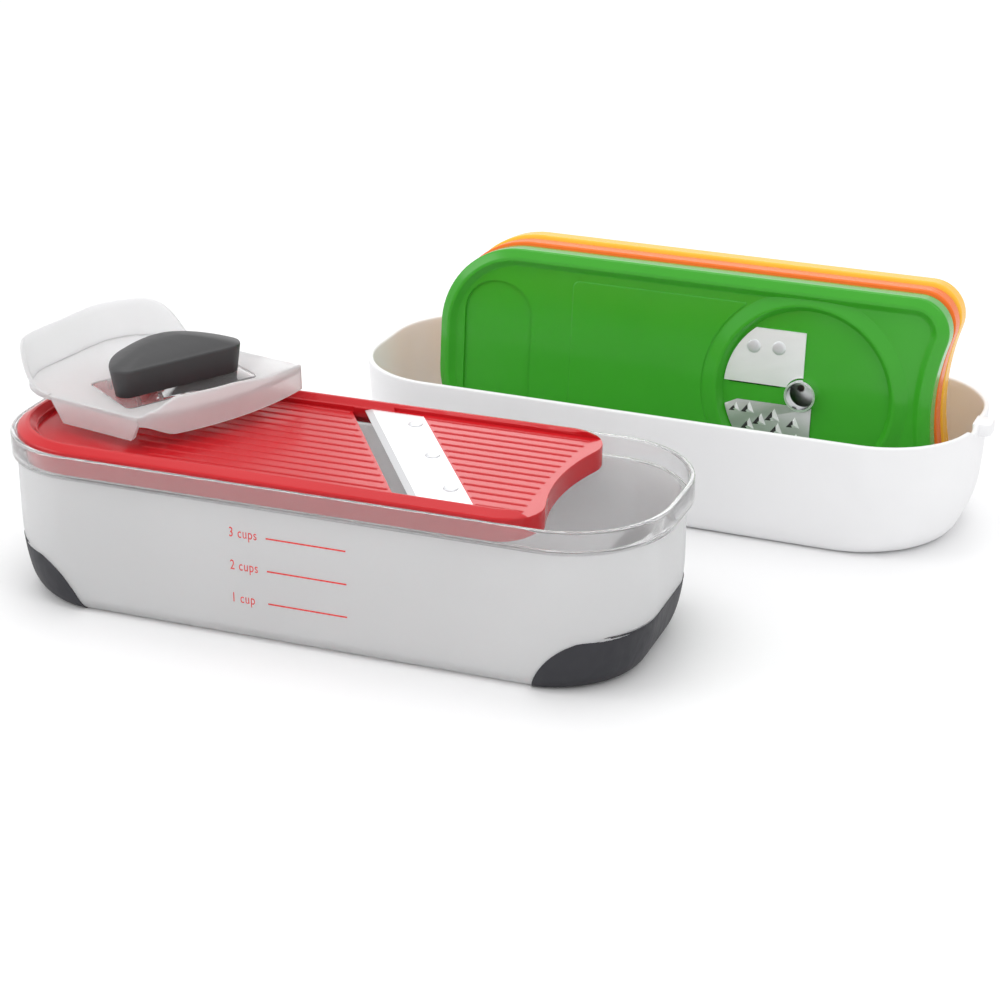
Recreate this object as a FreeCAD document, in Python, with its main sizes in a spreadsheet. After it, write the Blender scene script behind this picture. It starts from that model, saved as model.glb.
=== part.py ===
import FreeCAD, Part

import math
import os
import re

import Sketcher

# Mandoline slicer set. A clear container stands on the table and carries the slicing insert
# and the food holder. The upturned lid stands behind it and stores three more inserts on edge.
# Frame: origin at the centre of the container's base, +X along the container towards the
# insert's wavy end, +Y towards the lid, +Z up. Millimetres and degrees.

Vector = FreeCAD.Vector
Rotation = FreeCAD.Rotation
Placement = FreeCAD.Placement

SIZES = {
    # container
    "ContainerLength": 250.0,
    "ContainerWidth": 91.2,
    "ContainerHeight": 60.2,
    "RimRadius": 37.0,
    "RimThickness": 2.1,
    "BandHeight": 8.3,
    "EndStep": 3.7,
    "SideStep": 2.2,
    "WallRadius": 30.8,
    "WallThickness": 2.0,
    "FloorThickness": 2.8,
    "EndInset": 9.6,
    "EndRise": 31.0,
    "SideInset": 4.3,
    "SideRise": 9.6,
    "LedgeDrop": 7.6,
    # soft feet, let into the outside of the container's two ends
    "FootThickness": 1.0,
    "FootHeight": 20.7,
    "FootShoulder": 111.3,
    "FootSweep": 26.3,
    # blank shared by the four inserts
    "InsertGap": 0.4,
    "InsertLift": 0.3,
    "InsertThickness": 10.0,
    "InsertEnd": 85.5,
    "WaveDepth": 4.4,
    "LobeRadius": 13.5,
    "LipWidth": 1.7,
    "DishSlope": 5.6,
    "DeckDrop": 2.1,
    "SkirtWidth": 2.0,
    "SkirtDepth": 4.3,
    "GripLeft": -112.0,
    "GripRight": -83.0,
    "GripHalfWidth": 29.0,
    "GripRadius": 13.5,
    "GripDepth": 1.0,
    # slicing insert
    "LandingOpen": 50.0,
    "LandingHalfWidth": 37.5,
    "RampDrop": 1.6,
    "EdgeSlope": 0.672,
    "SlotStart": 10.6,
    "SlotWidth": 5.2,
    "BladeOverhang": 1.5,
    "BladeWidth": 23.3,
    "BladeHalfSpan": 35.2,
    "BladeThickness": 0.9,
    "BladeProud": 0.2,
    "BevelLength": 2.4,
    "BevelDepth": 0.7,
    "RidgePitch": 5.2,
    "RidgeWidth": 0.8,
    "RidgeHeight": 0.4,
    "RidgeStart": -79.0,
    "RivetRadius": 2.6,
    "RivetProud": 0.3,
    "RivetPitch": 25.6,
    "RivetShift": 1.5,
    "RivetInset": 5.2,
    # food holder
    "HolderHalfWidth": 35.6,
    "HolderLeft": 42.0,
    "HolderCorner": 22.0,
    "ShieldEnd": 8.0,
    "HolderPlate": 1.8,
    "GuardThickness": 1.6,
    "ShieldHeight": 14.0,
    "ShieldLean": 3.5,
    "ApronX": -63.7,
    "ApronY": 25.9,
    "ApronRadius": 105.0,
    "ApronPeak": 5.4,
    "ApronBack": 1.6,
    "ApronDepth": 9.0,
    "FlapDepth": 10.0,
    "KnobHalfWidth": 13.0,
    "KnobHalfLength": 26.0,
    "KnobCorner": 6.0,
    "KnobUndercut": 1.5,
    "KnobSide": 10.8,
    "KnobHeight": 16.4,
    "KnobX": 5.0,
    "KnobY": 1.0,
    "KnobYaw": -22.0,
    "ProngRadius": 0.8,
    "ProngLength": 6.0,
    "ProngPitch": 12.0,
    "HolderX": -80.5,
    "HolderY": 11.0,
    "HolderZ": 72.8,
    "HolderYaw": -12.0,
    "HolderTilt": 1.5,
    # lid, standing upside down as a tub
    "LidHeight": 46.2,
    "LidWall": 2.2,
    "LidFloor": 2.4,
    "LidDraft": 2.4,
    "LidRise": 24.3,
    "LidSideInset": 5.0,
    "LugReach": 4.5,
    "LugHeight": 5.0,
    "NotchDepth": 2.0,
    "RackX": 55.0,
    "RackThickness": 3.0,
    "RackHeight": 15.0,
    "RackSeat": 4.6,
    "RackClearance": 0.4,
    "LidX": 74.8,
    "LidY": 147.5,
    "LidYaw": -1.6,
    # the three inserts stored on edge in the lid
    "SpareX": 25.0,
    "SpareY": -6.9,
    "SpareZ": 5.5,
    "SparePitch": 10.4,
    "SpareLean": 5.7,
    # curly-cut insert
    "PanelLeft": -66.0,
    "PanelRight": 13.0,
    "PanelHalfWidth": 33.0,
    "PanelRise": 0.3,
    "WellX": 30.0,
    "WellY": -1.0,
    "WellRadius": 33.5,
    "WellDepth": 1.4,
    "WellMargin": 2.0,
    "RingRadius": 37.4,
    "RingRise": 1.4,
    "SheetThickness": 0.6,
    "TubeRadius": 6.2,
    "TubeWall": 0.8,
    "TubeTop": 9.8,
    "CurlyTop": 23.5,
    "CurlyEdge": 1.2,
    "CurlyRight": 30.3,
    "ToothTop": -6.0,
    "ToothRight": 34.4,
    # grater inserts
    "WindowLeft": -64.0,
    "WindowRight": 60.0,
    "WindowHalfWidth": 27.0,
    "WindowRadius": 8.0,
    "SheetMargin": 6.0,
    "CoarsePitch": 10.0,
    "CoarseRadius": 2.4,
    "FinePitch": 7.0,
    "FineRadius": 1.6,
    "ToothHeight": 1.5,
}

document = FreeCAD.newDocument("MandolineSet")
sheet = document.addObject("Spreadsheet::Sheet", "Size")
for row, (alias, number) in enumerate(SIZES.items(), start=1):
    sheet.set(f"A{row}", alias)
    sheet.set(f"B{row}", str(number))
    sheet.setAlias(f"B{row}", alias)
document.recompute()

# Formulas that several pieces share.
LEDGE_Z = "(ContainerHeight - LedgeDrop)"
INSERT_X = "(ContainerLength / 2 - RimThickness - InsertGap)"
INSERT_Y = "(ContainerWidth / 2 - RimThickness - InsertGap)"
INSERT_R = "(RimRadius - RimThickness - InsertGap)"
DECK_INSET = "(LipWidth + DishSlope)"
DECK_Z = "(InsertThickness - DeckDrop)"
BLADE_X = "(SlotStart + SlotWidth)"
WELL_Z = f"({DECK_Z} - WellDepth)"
SMALL_RIVET = "(RivetRadius - 0.8)"

# How a tub's half-length and half-width shrink towards its floor: size, inset, rise, draft.
CONTAINER_X = ("(ContainerLength / 2 - EndStep)", "EndInset", "EndRise", "0")
CONTAINER_Y = ("(ContainerWidth / 2 - SideStep)", "SideInset", "SideRise", "0")
LID_X = ("(ContainerLength / 2)", "EndInset", "LidRise", "LidDraft")
LID_Y = ("(ContainerWidth / 2)", "LidSideInset", "SideRise", "LidDraft")
CONTAINER_HEIGHTS = ("0", "1", "3", "6", "10", "FootHeight", "EndRise")
LID_HEIGHTS = ("0", "1", "3", "6", "10", "16", "LidRise", "35", "LidHeight")


def formula(text):
    """The formula with each sheet alias written as a reference to the sheet."""
    return re.sub(r"\b([A-Z]\w+)", r"Size.\1", str(text))


def value(text):
    """The number that a formula gives."""
    return float(sheet.evalExpression(formula(text)))


def new_body(name):
    body = document.addObject("PartDesign::Body", name)
    body.Label = name
    body.AllowCompound = True
    return body


def new_sketch(body, name, plane="XY_Plane", offset="0"):
    """A sketch on one of the body's origin planes, moved along that plane's normal."""
    sketch = body.newObject("Sketcher::SketchObject", name)
    support = [item for item in body.Origin.OriginFeatures if item.Role == plane][0]
    sketch.AttachmentSupport = [(support, "")]
    sketch.MapMode = "FlatFace"
    sketch.AttachmentOffset = Placement(Vector(0, 0, value(offset)), Rotation())
    sketch.setExpression("AttachmentOffset.Base.z", formula(offset))
    return sketch


def dimension(sketch, kind, *where, size):
    """A datum constraint bound to a formula."""
    index = sketch.addConstraint(Sketcher.Constraint(kind, *where, value(size)))
    sketch.setExpression(f"Constraints[{index}]", formula(size))


def place(sketch, item, point, across, up):
    """Hold a point of a sketch item at two formulas, measured from the sketch's origin."""
    dimension(sketch, "DistanceX", -1, 1, item, point, size=across)
    dimension(sketch, "DistanceY", -1, 1, item, point, size=up)


def chain(sketch, pieces, kind="Tangent"):
    """Add pieces that run head to tail as a closed outline."""
    items = [sketch.addGeometry(piece) for piece in pieces]
    for item, following in zip(items, items[1:] + items[:1]):
        sketch.addConstraint(Sketcher.Constraint(kind, item, 2, following, 1))
    return items


def polygon(sketch, corners):
    """A closed polygon whose corners are pairs of formulas."""
    spots = [Vector(value(x), value(y), 0) for x, y in corners]
    sides = zip(spots, spots[1:] + spots[:1])
    items = chain(sketch, [Part.LineSegment(a, b) for a, b in sides], kind="Coincident")
    for item, corner in zip(items, corners):
        place(sketch, item, 1, *corner)


def circle(sketch, x, y, radius):
    centre = Vector(value(x), value(y), 0)
    ring = sketch.addGeometry(Part.Circle(centre, Vector(0, 0, 1), value(radius)))
    place(sketch, ring, 3, x, y)
    dimension(sketch, "Radius", ring, size=radius)


def arc(x, y, radius, start, end):
    """An arc about (x, y) that runs anticlockwise between two angles in degrees."""
    ring = Part.Circle(Vector(x, y, 0), Vector(0, 0, 1), radius)
    return Part.ArcOfCircle(ring, math.radians(start), math.radians(end))


def line(x0, y0, x1, y1):
    return Part.LineSegment(Vector(x0, y0, 0), Vector(x1, y1, 0))


def settle_box(sketch, items, half_width, left, left_radius):
    """Constrain the long sides, the left end and the left corners of an outline."""
    bottom, top, left_top, start, left_low = items
    for item in (bottom, top):
        sketch.addConstraint(Sketcher.Constraint("Horizontal", item))
    sketch.addConstraint(Sketcher.Constraint("Vertical", start))
    sketch.addConstraint(Sketcher.Constraint("Equal", left_top, left_low))
    dimension(sketch, "Radius", left_top, size=left_radius)
    dimension(sketch, "DistanceY", -1, 1, top, 1, size=half_width)
    dimension(sketch, "DistanceY", -1, 1, bottom, 1, size=f"-({half_width})")
    dimension(sketch, "DistanceX", -1, 1, start, 1, size=left)


def rounded_box(sketch, left, right, half_width, radius):
    """A rounded rectangle that is symmetric about the sketch's X axis."""
    x0, x1, y, r = (value(text) for text in (left, right, half_width, radius))
    bottom, low, end, high, top, left_top, start, left_low = chain(sketch, [
        line(x0 + r, -y, x1 - r, -y),
        arc(x1 - r, r - y, r, 270, 360),
        line(x1, r - y, x1, y - r),
        arc(x1 - r, y - r, r, 0, 90),
        line(x1 - r, y, x0 + r, y),
        arc(x0 + r, y - r, r, 90, 180),
        line(x0, y - r, x0, r - y),
        arc(x0 + r, r - y, r, 180, 270),
    ])
    settle_box(sketch, (bottom, top, left_top, start, left_low), half_width, left, radius)
    sketch.addConstraint(Sketcher.Constraint("Vertical", end))
    sketch.addConstraint(Sketcher.Constraint("Equal", low, high))
    sketch.addConstraint(Sketcher.Constraint("Equal", low, left_top))
    dimension(sketch, "DistanceX", -1, 1, end, 1, size=right)


def insert_outline(sketch, inset):
    """The inserts' outline moved in by inset: a round end at -X and a wavy end at +X."""
    left = f"-{INSERT_X} + {inset}"
    half_width = f"({INSERT_Y} - {inset})"
    left_radius = f"({INSERT_R} - {inset})"
    lobe_radius = f"(LobeRadius - {inset})"
    lobe_x = "(InsertEnd - LobeRadius)"
    lobe_y = f"({INSERT_Y} - LobeRadius)"
    wave = (f"(((LobeRadius - WaveDepth)^2 + {lobe_y}^2 - LobeRadius^2)"
            " / (2 * WaveDepth))")
    x0, y, a, b = (value(text) for text in (left, half_width, left_radius, lobe_radius))
    x1 = value(lobe_x)
    wave_x = value(f"InsertEnd - WaveDepth + {wave}")
    wave_radius = value(f"{wave} + {inset}")
    turn = math.degrees(math.atan2(value(lobe_y), wave_x - x1))
    items = [sketch.addGeometry(piece) for piece in (
        line(x0 + a, -y, x1, -y),
        arc(x1, b - y, b, 270, 360 + turn),
        arc(wave_x, 0, wave_radius, 180 - turn, 180 + turn),
        arc(x1, y - b, b, -turn, 90),
        line(x1, y, x0 + a, y),
        arc(x0 + a, y - a, a, 90, 180),
        line(x0, y - a, x0, a - y),
        arc(x0 + a, a - y, a, 180, 270),
    )]
    bottom, low, hollow, high, top, left_top, start, left_low = items
    joints = [(bottom, 2, low, 1), (low, 2, hollow, 2), (hollow, 1, high, 1), (high, 2, top, 1),
              (top, 2, left_top, 1), (left_top, 2, start, 1), (start, 2, left_low, 1),
              (left_low, 2, bottom, 1)]
    for joint in joints:
        sketch.addConstraint(Sketcher.Constraint("Tangent", *joint))
    settle_box(sketch, (bottom, top, left_top, start, left_low), half_width, left, left_radius)
    sketch.addConstraint(Sketcher.Constraint("Equal", low, high))
    sketch.addConstraint(Sketcher.Constraint("PointOnObject", hollow, 3, -1))
    dimension(sketch, "Radius", low, size=lobe_radius)
    dimension(sketch, "Radius", hollow, size=f"{wave} + {inset}")
    dimension(sketch, "DistanceX", -1, 1, low, 3, size=lobe_x)


def extrude(kind, body, sketch, length, reversed_way=False):
    """A Pad or a Pocket of a sketch, to a length given as a formula."""
    feature = body.newObject(f"PartDesign::{kind}", f"{sketch.Name}{kind}")
    feature.Profile = sketch
    feature.Length = value(length)
    feature.setExpression("Length", formula(length))
    feature.Reversed = reversed_way
    sketch.Visibility = False
    return feature


def loft(kind, body, sketches):
    feature = body.newObject(f"PartDesign::{kind}", f"{sketches[0].Name}{kind}")
    feature.Profile = sketches[0]
    feature.Sections = sketches[1:]
    return feature


def dress(kind, body, feature, edges, **sizes):
    """A Fillet or a Chamfer on the edges of the feature that pass the test."""
    document.recompute()
    names = [f"Edge{number}" for number, edge in enumerate(feature.Shape.Edges, start=1)
             if edges(edge)]
    dressed = body.newObject(f"PartDesign::{kind}", f"{feature.Name}{kind}")
    dressed.Base = (feature, names)
    for name, size in sizes.items():
        setattr(dressed, name, value(size))
        dressed.setExpression(name, formula(size))
    return dressed


def half_size(tub_side, height, inset):
    """Half of a tub's length or width at a height above its floor, as a formula."""
    size, foot_inset, rise, draft = tub_side
    top = "LidHeight" if draft == "LidDraft" else "ContainerHeight"
    curve = "0"
    if value(height) < value(rise):
        curve = f"{foot_inset} * (1 - sqrt(1 - (1 - {height} / {rise})^2))"
    return f"({size} - {inset} - {draft} * (1 - {height} / {top}) - {curve})"


def tub(kind, body, name, sides, radius, heights, inset="0", lift="0"):
    """A loft through a tub's outlines, moved in by inset and up by lift."""
    sketches = []
    for number, height in enumerate(heights):
        sketch = new_sketch(body, f"{name}{number}", offset=f"{height} + {lift}")
        half_length = half_size(sides[0], height, inset)
        half_width = half_size(sides[1], height, inset)
        rounded_box(sketch, f"-{half_length}", half_length, half_width, f"{radius} - {inset}")
        sketches.append(sketch)
    return loft(kind, body, sketches)


def make_container():
    """The container before the feet are let into it."""
    sides = (CONTAINER_X, CONTAINER_Y)
    body = new_body("container_blank")
    tub("AdditiveLoft", body, "Outside", sides, "WallRadius", CONTAINER_HEIGHTS)
    wall = new_sketch(body, "Wall", offset="EndRise")
    half_length, half_width = CONTAINER_X[0], CONTAINER_Y[0]
    rounded_box(wall, f"-{half_length}", half_length, half_width, "WallRadius")
    extrude("Pad", body, wall, "ContainerHeight - BandHeight - EndRise")
    band = new_sketch(body, "Band", offset="ContainerHeight - BandHeight")
    rounded_box(band, "-ContainerLength / 2", "ContainerLength / 2", "ContainerWidth / 2",
                "RimRadius")
    extrude("Pad", body, band, "BandHeight")
    rebate = new_sketch(body, "Rebate", offset="ContainerHeight")
    rounded_box(rebate, "RimThickness - ContainerLength / 2", "ContainerLength / 2 - RimThickness",
                "(ContainerWidth / 2 - RimThickness)", "RimRadius - RimThickness")
    extrude("Pocket", body, rebate, "LedgeDrop")
    inside = new_sketch(body, "Inside", offset=LEDGE_Z)
    rounded_box(inside, f"WallThickness - {half_length}", f"{half_length} - WallThickness",
                f"({half_width} - WallThickness)", "WallRadius - WallThickness")
    extrude("Pocket", body, inside, f"{LEDGE_Z} - EndRise - FloorThickness")
    tub("SubtractiveLoft", body, "Hollow", sides, "WallRadius", CONTAINER_HEIGHTS,
        inset="WallThickness", lift="FloorThickness")
    return body


def make_foot(name, inset):
    """A skin of the container's +X end below a sweeping edge line.

    The outside moves in by inset: none for the foot, outwards for the tool of its recess.
    """
    sides = (CONTAINER_X, CONTAINER_Y)
    body = new_body(name)
    heights = CONTAINER_HEIGHTS[:-1]
    tub("AdditiveLoft", body, "Skin", sides, "WallRadius", heights, inset=inset)
    tub("SubtractiveLoft", body, "SkinHollow", sides, "WallRadius", heights,
        inset="FootThickness", lift="FootThickness")
    centre_z = value("FootHeight - FootSweep")
    shoulder, sweep = value("FootShoulder"), value("FootSweep")
    start = math.degrees(math.asin((-1 - centre_z) / sweep))
    start_x = shoulder - sweep * math.cos(math.radians(start))
    sketch = new_sketch(body, "Sweep", plane="XZ_Plane", offset="-ContainerWidth / 2")
    items = [sketch.addGeometry(piece) for piece in (
        line(-130, -1, start_x, -1),
        arc(shoulder, centre_z, sweep, 90, 180 - start),
        line(shoulder, centre_z + sweep, shoulder, 40),
        line(shoulder, 40, -130, 40),
        line(-130, 40, -130, -1),
    )]
    base, edge, rise, top, back = items
    joints = [(base, 2, edge, 2), (edge, 1, rise, 1), (rise, 2, top, 1), (top, 2, back, 1),
              (back, 2, base, 1)]
    for joint in joints:
        sketch.addConstraint(Sketcher.Constraint("Coincident", *joint))
    place(sketch, edge, 3, "FootShoulder", "FootHeight - FootSweep")
    dimension(sketch, "Radius", edge, size="FootSweep")
    place(sketch, rise, 2, "FootShoulder", "40")
    place(sketch, base, 1, "-130", "-1")
    for item in (base, top):
        sketch.addConstraint(Sketcher.Constraint("Horizontal", item))
    for item in (rise, back):
        sketch.addConstraint(Sketcher.Constraint("Vertical", item))
    extrude("Pocket", body, sketch, "ContainerWidth", reversed_way=True)
    return body


def make_insert(name):
    """The moulded blank of an insert: a lipped, dished plate with a low skirt below."""
    body = new_body(name)
    outline = new_sketch(body, "Outline")
    insert_outline(outline, "0")
    extrude("Pad", body, outline, "InsertThickness")
    lip = new_sketch(body, "Lip", offset="InsertThickness")
    insert_outline(lip, "LipWidth")
    deck = new_sketch(body, "Deck", offset=DECK_Z)
    insert_outline(deck, DECK_INSET)
    loft("SubtractiveLoft", body, [lip, deck]).Ruled = True
    skirt = new_sketch(body, "Skirt")
    insert_outline(skirt, "SkirtWidth")
    extrude("Pocket", body, skirt, "SkirtDepth", reversed_way=True)
    return body


def add_grip(body, surface):
    grip = new_sketch(body, "Grip", offset=surface)
    rounded_box(grip, "GripLeft", "GripRight", "GripHalfWidth", "GripRadius")
    extrude("Pocket", body, grip, "GripDepth")


def slanted_strip(sketch, start, width, half_span):
    """A parallelogram whose short sides follow the slicing blade's slant."""
    corners = []
    for x, y in ((start, f"-{half_span}"), (f"{start} + {width}", f"-{half_span}"),
                 (f"{start} + {width}", half_span), (start, half_span)):
        corners.append((f"{x} - EdgeSlope * ({y})", y))
    polygon(sketch, corners)


def slicing_rivets(sketch, radius):
    for step in (-1, 0, 1):
        y = f"(RivetShift + {step} * RivetPitch)"
        circle(sketch, f"{BLADE_X} + BladeWidth - RivetInset - EdgeSlope * {y}", y, radius)


def make_slicing_plate():
    body = make_insert("slicing_plate")
    half_width = f"({INSERT_Y} - {DECK_INSET})"
    left, radius = f"-{INSERT_X} + {DECK_INSET}", f"{INSERT_R} - {DECK_INSET}"
    x0, y, r = value(left), value(half_width), value(radius)
    edge, slope = value("SlotStart + 1"), value("EdgeSlope")
    ramp = new_sketch(body, "Ramp", offset=DECK_Z)
    items = [ramp.addGeometry(piece) for piece in (
        line(x0 + r, -y, edge + slope * y, -y),
        line(edge + slope * y, -y, edge - slope * y, y),
        line(edge - slope * y, y, x0 + r, y),
        arc(x0 + r, y - r, r, 90, 180),
        line(x0, y - r, x0, r - y),
        arc(x0 + r, r - y, r, 180, 270),
    )]
    bottom, slant, top, left_top, start, left_low = items
    for item, following in ((bottom, slant), (slant, top)):
        ramp.addConstraint(Sketcher.Constraint("Coincident", item, 2, following, 1))
    for item, following in ((top, left_top), (left_top, start), (start, left_low),
                            (left_low, bottom)):
        ramp.addConstraint(Sketcher.Constraint("Tangent", item, 2, following, 1))
    settle_box(ramp, (bottom, top, left_top, start, left_low), half_width, left, radius)
    dimension(ramp, "DistanceX", -1, 1, slant, 1, size=f"SlotStart + 1 + EdgeSlope * {half_width}")
    dimension(ramp, "DistanceX", -1, 1, slant, 2, size=f"SlotStart + 1 - EdgeSlope * {half_width}")
    extrude("Pocket", body, ramp, "RampDrop")

    open_end = new_sketch(body, "OpenEnd", offset="InsertThickness")
    rounded_box(open_end, "LandingOpen", "InsertEnd + 5", "LandingHalfWidth", "3")
    extrude("Pocket", body, open_end, "DeckDrop")
    slot = new_sketch(body, "Slot", offset="InsertThickness")
    slanted_strip(slot, "SlotStart", "(SlotWidth + BladeOverhang)", "BladeHalfSpan")
    extrude("Pocket", body, slot, "InsertThickness")
    seat = new_sketch(body, "Seat", offset=DECK_Z)
    slanted_strip(seat, BLADE_X, "BladeWidth", "BladeHalfSpan")
    extrude("Pocket", body, seat, "BladeThickness - BladeProud")
    holes = new_sketch(body, "Holes", offset=DECK_Z)
    slicing_rivets(holes, "RivetRadius")
    extrude("Pocket", body, holes, DECK_Z)
    landing = (f"({BLADE_X} + BladeWidth + 1.2 - EdgeSlope * STRIPE)",
               "(InsertEnd - WaveDepth - 3)")
    add_ridges(body, "RampRidges", ("RidgeStart", "(SlotStart - 1.2 - EdgeSlope * STRIPE)"),
               f"{DECK_Z} - RampDrop")
    add_ridges(body, "LandingRidges", landing, DECK_Z)
    add_grip(body, f"{DECK_Z} - RampDrop")
    return body


def add_ridges(body, name, run, surface):
    """Fine ribs along the insert, raised above a surface; run gives each rib's two ends."""
    sketch = new_sketch(body, name, offset=f"{surface} - 1")
    for step in range(14):
        y = f"({step - 6.5} * RidgePitch)"
        begin, end = (text.replace("STRIPE", y) for text in run)
        low, high = f"{y} - RidgeWidth / 2", f"{y} + RidgeWidth / 2"
        polygon(sketch, [(begin, low), (end, low), (end, high), (begin, high)])
    extrude("Pad", body, sketch, "RidgeHeight + 1")


def make_slicing_blade():
    body = new_body("slicing_blade")
    outline = new_sketch(body, "Outline", offset=f"{DECK_Z} + BladeProud - BladeThickness")
    slanted_strip(outline, BLADE_X, "BladeWidth", "BladeHalfSpan")
    holes = new_sketch(body, "Holes", offset=f"{DECK_Z} + BladeProud")
    slicing_rivets(holes, "RivetRadius")
    plate = extrude("Pad", body, outline, "BladeThickness")
    top, front = value(f"{DECK_Z} + BladeProud"), value(BLADE_X)

    def is_edge(edge):
        middle = edge.CenterOfMass
        return abs(middle.z - top) < 0.01 and abs(middle.x - front) < 0.01

    bevel = dress("Chamfer", body, plate, is_edge, Size="BevelDepth", Size2="BevelLength")
    bevel.ChamferType = "Two distances"
    extrude("Pocket", body, holes, "BladeThickness")
    return body


def make_rivets(name, spots, radius, base, top):
    """Solid rivets whose heads stand a little above the plate that they hold."""
    body = new_body(name)
    sketch = new_sketch(body, "Shanks", offset=base)
    spots(sketch, radius)
    shanks = extrude("Pad", body, sketch, f"{top} + RivetProud - ({base})")
    head = value(f"{top} + RivetProud")
    dress("Fillet", body, shanks, lambda edge: abs(edge.CenterOfMass.z - head) < 0.01,
          Radius="RivetProud - 0.05")
    return body


# Food holder, drawn with the top of its plate at height 0. A shield stands on its rounded end
# at -X; an apron follows the circle that bounds it at +X.
APRON_FRONT = "(ApronX + sqrt(ApronRadius^2 - (HolderHalfWidth + ApronY)^2))"
APRON_CORNER = "(ApronX + sqrt(ApronRadius^2 - (HolderHalfWidth - ApronY)^2))"
FLAP_LEFT = "(HolderCorner - HolderLeft)"


def apron_arc(inset):
    """The apron's arc moved in by inset, between the plate's long sides."""
    x, y, radius = value("ApronX"), value("ApronY"), value(f"ApronRadius - {inset}")
    start, end = (math.degrees(math.asin((side * value("HolderHalfWidth") - y) / radius))
                  for side in (-1, 1))
    return arc(x, y, radius, start, end)


def holder_end(body, name, base, inset, right):
    """A sketch of the plate's rounded end moved in by inset and closed by a straight line."""
    sketch = new_sketch(body, name, offset=base)
    half_width = f"(HolderHalfWidth - {inset})"
    left, radius = f"{inset} - HolderLeft", f"(HolderCorner - {inset})"
    x0, x1, y, r = (value(text) for text in (left, right, half_width, radius))
    bottom, end, top, left_top, start, left_low = items = [sketch.addGeometry(piece) for piece in (
        line(x0 + r, -y, x1, -y),
        line(x1, -y, x1, y),
        line(x1, y, x0 + r, y),
        arc(x0 + r, y - r, r, 90, 180),
        line(x0, y - r, x0, r - y),
        arc(x0 + r, r - y, r, 180, 270),
    )]
    kinds = ("Coincident", "Coincident", "Tangent", "Tangent", "Tangent", "Tangent")
    for kind, item, following in zip(kinds, items, items[1:] + items[:1]):
        sketch.addConstraint(Sketcher.Constraint(kind, item, 2, following, 1))
    settle_box(sketch, (bottom, top, left_top, start, left_low), half_width, left, radius)
    sketch.addConstraint(Sketcher.Constraint("Vertical", end))
    dimension(sketch, "DistanceX", -1, 1, end, 1, size=right)
    return sketch


def make_holder():
    body = new_body("holder_body")
    plate = new_sketch(body, "Plate", offset="-HolderPlate")
    x0, x1, x2 = value("-HolderLeft"), value(APRON_FRONT), value(APRON_CORNER)
    y, r = value("HolderHalfWidth"), value("HolderCorner")
    bottom, right, top, left_top, start, left_low = items = [
        plate.addGeometry(piece) for piece in (
            line(x0 + r, -y, x1, -y),
            apron_arc("0"),
            line(x2, y, x0 + r, y),
            arc(x0 + r, y - r, r, 90, 180),
            line(x0, y - r, x0, r - y),
            arc(x0 + r, r - y, r, 180, 270),
        )]
    kinds = ("Coincident", "Coincident", "Tangent", "Tangent", "Tangent", "Tangent")
    for kind, item, following in zip(kinds, items, items[1:] + items[:1]):
        plate.addConstraint(Sketcher.Constraint(kind, item, 2, following, 1))
    settle_box(plate, (bottom, top, left_top, start, left_low), "HolderHalfWidth", "-HolderLeft",
               "HolderCorner")
    place(plate, right, 3, "ApronX", "ApronY")
    dimension(plate, "Radius", right, size="ApronRadius")
    extrude("Pad", body, plate, "HolderPlate")
    loft("AdditiveLoft", body, [holder_end(body, "ShieldFoot", "-HolderPlate", "0", "-ShieldEnd"),
                                holder_end(body, "ShieldTop", "ShieldHeight", "-ShieldLean",
                                           "-ShieldEnd")])
    loft("SubtractiveLoft", body, [
        holder_end(body, "ShieldHollow", "0", "GuardThickness", "1 - ShieldEnd"),
        holder_end(body, "ShieldMouth", "ShieldHeight + 0.5", "(GuardThickness - ShieldLean)",
                   "1 - ShieldEnd")])
    make_apron(body)
    flap_outline = [(FLAP_LEFT, "0"), (f"{FLAP_LEFT} + 6", "-FlapDepth"),
                    (f"{APRON_FRONT} - 3.5", "-FlapDepth"), (APRON_FRONT, "0")]
    for name, offset in (("FrontFlap", "HolderHalfWidth - GuardThickness"),
                         ("BackFlap", "-HolderHalfWidth")):
        flap = new_sketch(body, name, plane="XZ_Plane", offset=offset)
        polygon(flap, flap_outline)
        extrude("Pad", body, flap, "GuardThickness")
    front, back = "-HolderHalfWidth", "HolderHalfWidth"
    trim(body, "ShieldFront", "YZ_Plane", "-5", False, [
        (f"{front} - 9", "0"), (f"{front} + 1", "0"), (f"{front} + 4", "8"),
        (f"{front} + 11", "ShieldHeight"), (f"{front} + 11", "ShieldHeight + 5"),
        (f"{front} - 9", "ShieldHeight + 5")])
    trim(body, "ShieldBack", "XZ_Plane", "5 - HolderHalfWidth", False, [
        ("-ShieldEnd + 2", "0"), ("-ShieldEnd + 2", "ShieldHeight + 5"),
        ("-HolderLeft + 8", "ShieldHeight + 5"), ("-HolderLeft + 12", "ShieldHeight - 0.5"),
        (f"{FLAP_LEFT}", "ShieldHeight - 4"), ("-ShieldEnd - 2", "1.5"), ("-ShieldEnd", "0")])
    trim(body, "ApronTop", "YZ_Plane", "5", True, [
        (f"{front} - 1", "-0.4"), (f"{front} + 13", "ApronPeak"), (f"{back} + 1", "ApronBack"),
        (f"{back} + 1", "ApronPeak + 1"), (f"{front} - 1", "ApronPeak + 1")])
    trim(body, "ApronBottom", "YZ_Plane", f"{APRON_FRONT} - 1", True, [
        (f"{front} - 1", "-3.4"), (f"{front} - 1", "-ApronDepth - 1"),
        (f"{front} + 14", "-ApronDepth - 1"), (f"{front} + 12", "-ApronDepth")])
    return body


def trim(body, name, plane, offset, reversed_way, outline):
    """Cut a prism out of the body, 50 mm deep from a plane."""
    sketch = new_sketch(body, name, plane=plane, offset=offset)
    polygon(sketch, outline)
    extrude("Pocket", body, sketch, "50", reversed_way=reversed_way)


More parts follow.
